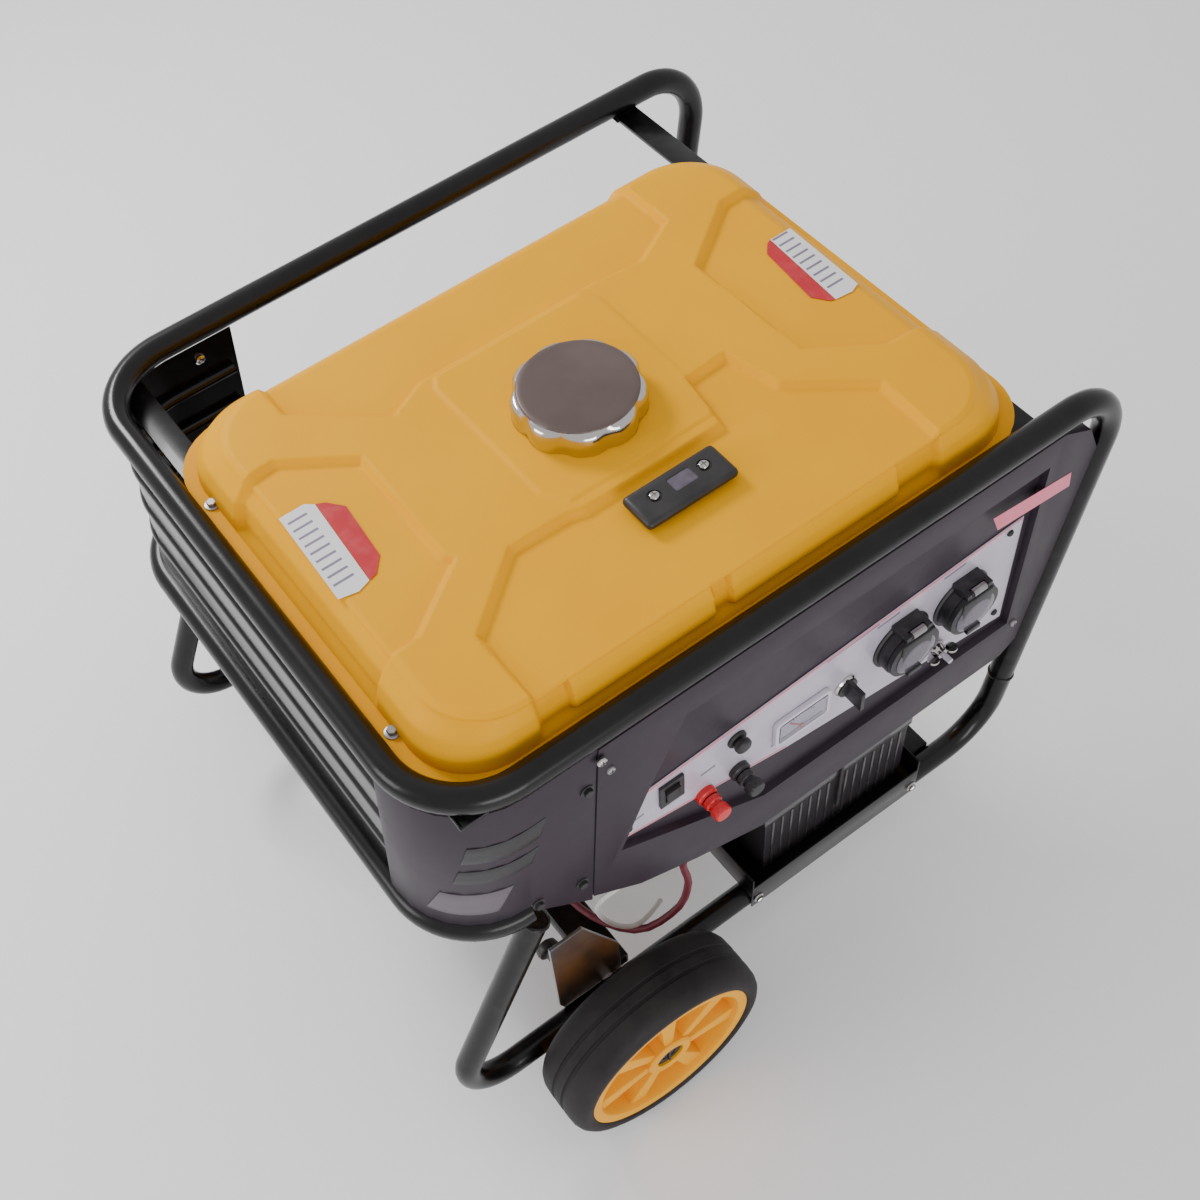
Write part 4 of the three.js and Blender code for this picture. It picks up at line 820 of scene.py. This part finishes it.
def corner_cover():
    stand_in("corner_guard", "corner_guard_sheet", COVER_GREY, 0.9, 2, 50, smooth=40)
    corners = [(-203.3, -290), (FRAME_LEFT, -290), (FRAME_LEFT, -205)]
    # The two pressed bars are black raised patches. They are painted shade, standing for the dark recesses of the
    # bars pressed into the guard.
    patches = (("guard_bar_painted_shade_0", BLACK_PLASTIC, (52, 120), (524, 548), 6),
        ("guard_bar_painted_shade_1", BLACK_PLASTIC, (60, 128), (492, 512), 6),
        ("guard_plain_badge", BADGE_GREY, (88, 150), (440, 474), 14))
    for name, shade, reach, heights, lean in patches:
        done(patch_on_cover(corners, 6.0, reach, heights, lean), name, shade)
    places = ((-213, 546), (-216, 400), (-262, 417))
    group([hex_bolt((x + lean_by(z), -296, z), FORWARD, 4.4) for x, z in places], "guard_bolts", BLACK_PLASTIC)
    done(pan_screw((-205, -299, 582), FORWARD, 5.0), "panel_corner_screw", CHROME)


# ---------- control panel
BUTTON_AT, METER_AT, KEY_AT, GROUND_AT = (-61, 452), (13, 414), (66, 413), (180, 371)
RED_POST_AT, BLACK_POST_AT = (-96, 394), (-58, 396)
SOCKETS = (("left", 131), ("right", 204))
SOCKET_Z, SOCKET_R = 427, 30
SEAT_Y = FACE_Y - 0.3
LID_BACK = SEAT_Y - 14


def panel_moulding():
    stand_in("panel_bezel", "panel_moulding", COVER_GREY, 1.6, 3, 30, smooth=45)
    stripe = [(216, 540), (312, 529), (315, 508), (226, 516)]
    flat_sheet("panel_stripe", [(x, PANEL_Y, z) for x, z in stripe], STRIPE_PINK, 0.05, up=False, thick=0.3)
    group([pan_screw((x, PANEL_Y, z), FORWARD, 4.2) for x, z in ((288, 318), (-196, 556))], "panel_screws", ZINC)
    stand_in("panel_face", "panel_face_sheet", LABEL_SILVER, 0.2, 1)
    edges = [[(-163, 466), (269, 493), (269.4, 490.6), (-161, 463.6)], [(-188, 413.6), (0, 373.6), (0, 375.4),
        (-186, 415)]]
    for k, line in enumerate(edges):
        flat_sheet("panel_face_line_%d" % k, [(x, FACE_Y, z) for x, z in line], STRIPE_PINK, 0.02, up=False,
            thick=0.2)
    marks = [(-172, 430, 10, 3), (-100, 428, 16, 3), (-20, 392, 14, 3), (98, 472, 26, 3), (176, 478, 26, 3),
        (-118, 466, 30, 2.4), (40, 474, 60, 2.4)]
    for k, (x, z, w, h) in enumerate(marks):
        points = [(x, FACE_Y, z), (x + w, FACE_Y, z + w * 0.06), (x + w, FACE_Y, z + h + w * 0.06),
            (x, FACE_Y, z + h)]
        flat_sheet("panel_face_mark_%d" % k, points, PRINT_GREY, 0.02, up=False, thick=0.15)
    group([pan_screw((x, FACE_Y, z), FORWARD, 3.6) for x, z in ((-179, 425), (262, 352), (255, 482))],
        "panel_face_screws", BLACK_PLASTIC)


def rocker_and_button():
    stand_in("rocker_switch_case", "rocker_case", BLACK_PLASTIC, 0.7)
    stand_in("rocker_switch_key", "rocker_paddle", BLACK_PLASTIC, 0.8, 3, 30, body="rocker_switch_key_body")
    x, z = BUTTON_AT
    done(turned([(10, 0), (10, 2), (8.5, 3.4), (6.5, 3.6)], (x, FACE_Y, z), FORWARD, 24), "breaker_collar",
        DULL_BLACK)
    done(turned([(5, -15), (5, 6), (8, 6.3), (8.4, 8), (8, 11), (6.5, 12.3), (3, 12.6)], (x, SEAT_Y, z), FORWARD,
        28), "breaker_knob", BLACK_PLASTIC, "breaker_button_body", ["breaker_button"], smooth=45)


def output_posts():
    for (x, z), shade, node in ((RED_POST_AT, RED_PLASTIC, "terminal_nut_red"),
            (BLACK_POST_AT, BLACK_PLASTIC, "terminal_nut_black")):
        start = FACE_Y - 8.3
        nut = turned([(7.5, 0), (9, 0.8), (9, 6), (7, 7.2), (7, 9.5), (9, 11), (9, 18.6), (7.6, 20), (4, 20.2)],
            (x, start, z), FORWARD, 40)
        centre = spot(x, start, z)
        for vertex in nut.data.vertices:
            flat = Vector((vertex.co.x - centre.x, vertex.co.z - centre.z))
            if flat.length > 8.4 * MM:
                flat.length -= 0.7 * MM * (0.5 + 0.5 * math.cos(10 * math.atan2(flat.y, flat.x)))
                vertex.co.x, vertex.co.z = centre.x + flat.x, centre.z + flat.y
        done(nut, node + "_piece", shade, node + "_body", [node], smooth=40)
        done(turned([(10.5, 0), (10.5, 5), (9.2, 6.5), (9, 8)], (x, FACE_Y, z), FORWARD, 28), node + "_base", shade)


def meter_and_key():
    x, z = METER_AT
    stand_in("voltmeter", "meter_case", METER_PALE, 0.7)
    dial_y = SEAT_Y - 2
    marks = []
    for k in range(9):
        a = math.radians(-40 + 10 * k)
        cx, cz = x + 21 * math.sin(a), z - 11 + 21 * math.cos(a)
        marks.append(block((cx - 0.4, dial_y - 0.5, cz - 1.6), (cx + 0.4, dial_y + 0.1, cz + 1.6), 0))
    marks.append(block((x - 24, dial_y - 0.4, z - 13.4), (x + 24, dial_y + 0.1, z - 11.8), 0))
    group(marks, "meter_marks", PRINT_GREY)
    stand_in("voltmeter_needle", "meter_needle", RED_PLASTIC, body="voltmeter_needle_body")
    done(block((x - 27.8, SEAT_Y - 5.3, z - 14.8), (x + 27.8, SEAT_Y - 4.3, z + 14.8), 0.4, 1), "meter_lens",
        METER_GLASS)
    x, z = KEY_AT
    done(hoop([(7, -0.5), (12.5, -0.5), (12.5, 1.5), (11, 3.2), (7, 3.2)], (x, FACE_Y, z), FORWARD, 32),
        "key_lock_collar", CHROME)
    stand_in("start_key", "start_key_piece", BLACK_PLASTIC, 1.3, 3, 30, body="start_key_body")


def socket_outlets():
    for side, x in SOCKETS:
        node = "socket_" + side
        stand_in(node, node + "_body", BLACK_PLASTIC, 0.9, 2, 50, smooth=40)
        done(hoop([(23, 0), (33, 0), (33, 1.6), (31, 3), (23, 3)], (x, FACE_Y, SOCKET_Z), FORWARD, 48),
            node + "_flange", BLACK_PLASTIC)
        group([turned([(3.2, -18), (3.2, 0.5), (2.2, 1.4)], (x + d, SEAT_Y + 6, SOCKET_Z), FORWARD, 16)
            for d in (-9.5, 9.5)], node + "_contacts", BRASS)
        cover = "socket_cover_" + side
        lid = copy_of(cover, 1.1, 3, 50)
        hood = block((x - 18, LID_BACK - 6.8, SOCKET_Z - 2), (x + 18, LID_BACK - 4, SOCKET_Z + 24), 2.0, 3)
        group([lid, hood], cover + "_lid", BLACK_PLASTIC, cover + "_body", [cover], smooth=40)
        # The smoke-grey disc on each closed lid is a painted reflection: it stands for the sheen on the lid's glossy
        # black dome.
        done(turned([(23, 0), (23, 0.8), (21.6, 1.7), (12, 2.1)], (x + 1, LID_BACK - 4.9, SOCKET_Z - 3), FORWARD,
            48), cover + "_window", SMOKE_GREY_AND_SHEEN, cover + "_body", smooth=50)
        done(block((x - 8, LID_BACK - 8.8, SOCKET_Z - 27.6), (x + 8, LID_BACK - 4.6, SOCKET_Z - 22.6), 0.8),
            cover + "_tab", SMOKE_GREY_AND_SHEEN, cover + "_body")
        done(hoop([(3.2, -7.5), (3.9, -7.5), (3.9, 7.5), (3.2, 7.5)], (x, LID_BACK - 3.5, SOCKET_Z + SOCKET_R + 2),
            RIGHTWARD, 20), cover + "_spring", ZINC, cover + "_body")


def ground_stud():
    x, z = GROUND_AT
    start = FACE_Y - 4.3
    nut = turned([(7.5, 0), (7.5, 2), (6.2, 4), (5.4, 9), (3.4, 9.4)], (x, start, z), FORWARD, 28)
    wings = []
    for d in (-1, 1):
        wings.append(turned([(5.6, -1.5), (6.0, 0), (5.6, 1.5)], (x + d * 11.5, start - 8.5, z), UP, 20))
        wings.append(block((min(x + d * 4, x + d * 10), start - 9, z - 1.5),
            (max(x + d * 4, x + d * 10), start - 2, z + 1.5), 0.8))
    done(joined([nut] + wings), "ground_wing_nut_piece", CHROME, "ground_wing_nut_body", ["ground_wing_nut"],
        smooth=45)
    done(hoop([(4, 0), (10, 0), (10, 1.2), (4, 1.2)], (x, FACE_Y - 2.6, z), FORWARD, 28), "ground_washer", ZINC)


# ---------- wheels
def wheels():
    half = TYRE_WIDTH / 2
    for end, side in (("front", -1), ("rear", 1)):
        centre = (WHEEL_X, side * (WHEEL_FACE_Y - half), SKID_Z)
        section = [(95.4, -33), (97, -34.6), (103, -35), (108, -33), (112, -29), (114.3, -23), (115, -14),
            (115, -9.5), (113.4, -8.5), (113.4, -5.5), (115, -4.5), (115, 4.5), (113.4, 5.5), (113.4, 8.5),
            (115, 9.5), (115, 14), (114.3, 23), (112, 29), (108, 33), (103, 35), (97, 34.6), (95.4, 33)]
        done(hoop(section, centre, BACKWARD, 96), "tyre_%s_piece" % end, TYRE_RUBBER, "wheel_" + end,
            ["tyre_" + end], smooth=50)
        done(wheel_disc(centre), "wheel_%s_disc" % end, WHEEL_YELLOW, "wheel_" + end, ["wheel_hub_" + end], smooth=40)
        washer = hoop([(8.2, 0), (15, 0), (15, 1.6), (8.2, 1.6)], (WHEEL_X, side * 375.9, SKID_Z), (0, side, 0), 32)
        cap = turned([(8, -1), (8, 0.4), (7.2, 1.0)], (WHEEL_X, side * 376, SKID_Z), (0, side, 0), 28)
        pin = pipe([(WHEEL_X, side * 378.5, SKID_Z - 12), (WHEEL_X, side * 378.5, SKID_Z + 14)], 1.4, sides=3)
        group([washer, cap, pin], "axle_%s_end" % end, DULL_BLACK)
    stand_in("wheel_axle", "axle_bar", ZINC, 0.6, 2, 50)


def wheel_disc(centre):
    """A moulded wheel: rim with a lip, flat face with deep windows between broad spokes, and a boss with a bore."""
    pockets = 7
    around = pockets * 12
    half = 32
    rim = hoop([(85, -half), (87, -half - 0.8), (95, -half - 0.8), (95, half + 0.8), (87, half + 0.8), (85, half),
        (83, 28), (83, -28)], centre, BACKWARD, around)
    boss = hoop([(8.6, -25), (11, -25), (15.5, -26), (15.5, -half + 1), (17, -half), (24, -half), (26, -half + 2),
        (26, half - 2), (24, half), (17, half), (15.5, half - 1), (15.5, 26), (11, 25), (8.6, 25)], centre, BACKWARD,
        around)
    web = hoop([(25, -5), (84, -5), (84, 5), (25, 5)], centre, BACKWARD, around)
    ribs = []
    for k in range(pockets):
        rib = block((24, -27, -7), (85, 27, 7), 2.4, 2)
        for vertex in rib.data.vertices:
            vertex.co.x -= SHIFT
            reach = (vertex.co.x / MM - 24) / 61
            vertex.co.z *= 0.8 + 0.8 * reach
            vertex.co.y *= 1.05 - 0.05 * reach
        rib.data.transform(Matrix.Rotation((k + 0.3) * 2 * math.pi / pockets, 4, "Y"))
        rib.data.transform(Matrix.Translation(spot(*centre)))
        ribs.append(rib)
    return joined([rim, boss, web] + ribs)


def axle_plates():
    for side, name in ((-1, "front"), (1, "rear")):
        node = "axle_plate_" + name
        stand_in(node, node + "_piece", ZINC, 0.8)
        done(turned([(6, 0), (6, 7), (11, 8), (12, 11), (11, 16), (8, 18)], (-262, side * 273, 232), (0, -side, 0),
            28), node + "_knob", BLACK_PLASTIC)
        group([hex_bolt((x, side * 273, z), (0, -side, 0), 5) for x, z in ((-248, 118), (-252, 205))],
            node + "_bolts", ZINC)


# ---------- battery and wiring
def battery_and_tray():
    stand_in("battery", "battery_case", BATTERY_SMOKE, 1.6, 3, 30)
    group([block((x, -287.2, 134), (x + 3, -285.4, 224), 0.7) for x in range(-6, 170, 12)], "battery_ribs",
        BATTERY_SMOKE)
    group([turned([(7, 0), (7, 1.6), (5.6, 2.4)], (x, -262, 248.7), UP, 20) for x in range(4, 160, 29)],
        "battery_vent_plugs", DULL_BLACK)
    clamps = []
    for x in (-1, 161):
        clamp = hoop([(4.5, 0), (8.5, 0), (8.5, 9), (4.5, 9)], (x, -226, 263), UP, 24)
        clamps += [clamp, hex_bolt((x, -235, 267), FORWARD, 3.4, False)]
    group(clamps, "battery_clamps", BRASS)
    done(pipe(bent_line([(80, -207, 168), (80, -207, 252), (80, -289.5, 252), (80, -289.5, 168)], 6), 2.2, sides=3),
        "battery_strap", DULL_BLACK)
    stand_in("battery_tray", "battery_tray_piece", FRAME_BLACK, 0.6)
    group([hex_bolt((x, -305.3, 124), FORWARD, 4.2) for x in (-36, 174)], "tray_bolts", CHROME)


def wiring():
    stand_in("starter_cable", "starter_cable_piece", CABLE_RED, smooth=60)
    done(pipe([(-150, -281, 330), (-168, -276, 290), (-196, -262, 262), (-202, -252, 222), (-188, -256, 178),
        (-168, -262, 150), (-150, -262, 140), (-120, -250, 134)], 2.6, True), "lead_white", CABLE_WHITE)
    group([pipe([(-170 + 7 * k, -276, 330), (-188 + 8 * k, -262 + 4 * k, 288 - 4 * k),
        (-205 + 10 * k, -240 + 3 * k, 262 - 8 * k), (-178 + 4 * k, -224, 240 - 10 * k),
        (-150 - 6 * k, -200, 260 - 6 * k)], 2.0, True) for k in range(5)], "leads_green", CABLE_GREEN)
    done(pipe([(-1, -226, 270), (-6, -240, 284), (-40, -262, 286), (-110, -250, 250), (-168, -180, 190),
        (-180, -122, 170)], 4.0, True), "lead_black", CABLE_BLACK)
    done(pipe([(161, -226, 270), (158, -240, 284), (120, -250, 286), (20, -262, 292), (-60, -268, 300),
        (-96, -272, 312)], 4.0, True), "lead_red", CABLE_RED)


# ---------- engine and alternator
def engine():
    stand_in("crankcase", "crankcase_piece", CAST_ALLOY, 1.6, 2)
    stand_in("cylinder", "cylinder_piece", CAST_ALLOY, 0.6)
    stand_in("rocker_cover", "rocker_cover_piece", DULL_BLACK, 2.4, 3, 25)
    stand_in("crankshaft_rotor", "crankshaft_piece", ZINC, 0.8, 2, 50, body="crankshaft_rotor_body")
    stand_in("blower_housing", "blower_cover", SHEET_BLACK, 1.2, 2, 40, smooth=40)
    case_bolts = [hex_bolt((-104.9, y, z), RIGHTWARD, 4.6) for y, z in ((-96, 170), (-96, 290), (60, 330), (96, 240))]
    case_bolts += [hex_bolt((x, y, 161.4), UP, 5.0) for x in (-240, -120) for y in (-111, 111)]
    group(case_bolts, "crankcase_bolts", ZINC)
    stand_in("recoil_grip", "recoil_handle", BLACK_PLASTIC, 3.0, 3, 40, body="recoil_grip_body")
    rope = pipe([(-332 - 0.5 * k, -30, 352) for k in range(19)], 2.2, sides=3)
    done(rope, "recoil_rope", CABLE_WHITE, body=None)
    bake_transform(rope)
    done(turned([(52, 0), (52, 3), (46, 5), (20, 6.5), (8, 6.5)], (-334, 0, CRANK_Z), LEFTWARD, 48), "recoil_cover",
        DULL_BLACK, smooth=45)
    group([hex_bolt((-334, 112 * math.cos(a), CRANK_Z + 112 * math.sin(a)), LEFTWARD, 3.8) for a in CORNER_ANGLES],
        "blower_bolts", ZINC)
    stand_in("oil_filler_cap", "oil_filler_plug", BLACK_PLASTIC, 1.2, 2, 40, body="oil_filler_cap_body")
    for place in ("front_left", "rear_left", "front_right", "rear_right"):
        node = "rubber_mount_" + place
        low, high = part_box(node)
        x, y = (low[0] + high[0]) / 2 / MM - SHIFT / MM, (low[1] + high[1]) / 2 / MM
        z = low[2] / MM
        done(turned([(17, 0), (18, 2), (18, 4), (15, 8), (15, 14), (18, 18), (18, 20), (17, 22)], (x, y, z),
            around=32), node + "_piece", PAD_RUBBER, stands_for=[node], smooth=45)
    done(turned([(5, 0), (5, 8), (9, 9), (9, 16), (7, 17), (7, 40), (5, 42)], (-232, 60, 420), (-0.8, 0.3, 0.5), 20),
        "spark_plug_boot", BLACK_PLASTIC)
    done(pipe([(-264, 72, 440), (-290, 78, 430), (-300, 70, 400), (-296, 60, 380)], 3.4, True), "spark_plug_lead",
        CABLE_BLACK)


MUFFLER_AT = (196, 402)


def intake_and_exhaust():
    stand_in("air_cleaner", "air_cleaner_box", BLACK_PLASTIC, 2.0, 3, 30)
    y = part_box("air_cleaner")[0][1] / MM
    done(block((-266, y - 0.6, 398), (-114, y + 8, 482), 3.0, 3), "air_cleaner_lid", DULL_BLACK)
    done(turned([(9, 0), (11, 1.5), (11, 8), (8, 10)], (-190, y - 0.6, 440), FORWARD, 20), "air_cleaner_knob",
        BLACK_PLASTIC)
    stand_in("carburettor", "carburettor_piece", CAST_ALLOY, 1.2)
    stand_in("choke_lever", "choke_handle", BLACK_PLASTIC, 0.6, body="choke_lever_body")
    stand_in("muffler", "muffler_drum", BARE_STEEL, 3.0, 3, 50, smooth=40)
    group([hoop([(53, -2), (56, -1.6), (56, 1.6), (53, 2)], (x, *MUFFLER_AT), RIGHTWARD, 48) for x in (-132, 52)],
        "muffler_seams", BARE_STEEL)
    slats, (middle_y, middle_z) = [], MUFFLER_AT
    for k in range(7):
        a = math.radians(20 + 20 * k)
        y, z = middle_y + 60 * math.cos(a), middle_z + 60 * math.sin(a)
        slats.append(pipe([(-120, y, z), (40, y, z)], 2.2, sides=2))
    slats += [hoop([(57.6, -4), (62, -4), (62, 4), (57.6, 4)], (x, *MUFFLER_AT), RIGHTWARD, 48) for x in (-118, 38)]
    group(slats, "muffler_guard", DULL_BLACK)


def alternator():
    stand_in("alternator_housing", "alternator_barrel", CAST_ALLOY, 1.6, 2, 40, smooth=40)
    x1 = 150
    end = turned([(70, 0), (78, 4), (78, 10), (70, 16), (52, 20), (30, 21)], (x1 + 9, 0, CRANK_Z), RIGHTWARD, 48)
    for k in range(16):
        a = k * math.pi / 8
        slot = block((x1 + 5, -3, 34), (x1 + 40, 3, 64), 0)
        slot.data.transform(Matrix.Rotation(a, 4, "X"))
        slot.data.transform(Matrix.Translation((0, 0, CRANK_Z * MM)))
        cut_by(end, slot)
    done(end, "alternator_end_cover", DULL_BLACK, smooth=40)
    group([hex_bolt((x1 - 30, 104 * math.cos(a), CRANK_Z + 104 * math.sin(a)), RIGHTWARD, 4.6)
        for a in CORNER_ANGLES], "alternator_studs", ZINC)


METER_GLASS, _, window = new_material("meter_window")
window["Base Color"].default_value = colour(240, 240, 246)
window["Transmission Weight"].default_value = 1.0
window["Roughness"].default_value = 0.04
window["IOR"].default_value = 1.45


def floor():
    only()
    bpy.ops.mesh.primitive_plane_add(size=30)
    ground = bpy.context.active_object
    ground.name = "studio_floor"
    paper, tree, sockets = new_material("studio_paper")
    sockets["Roughness"].default_value = 0.9
    place = paper.node_tree.nodes.new("ShaderNodeTexCoord").outputs["Object"]
    shade = tree.mix(tree.noise(place, 3.0), colour(250, 250, 252), colour(252, 252, 254))
    feed(tree.tree, sockets["Base Color"], shade)
    ground.data.materials.append(paper)


for make in (set_camera, set_light, frame_tubes, tank_top, tank_bottom, fuel_cap, gauge, tank_labels, fuel_cock,
        side_cover, corner_cover, panel_moulding, rocker_and_button, output_posts, meter_and_key, socket_outlets,
        ground_stud, wheels, axle_plates, battery_and_tray, wiring, engine, intake_and_exhaust, alternator, floor):
    make()
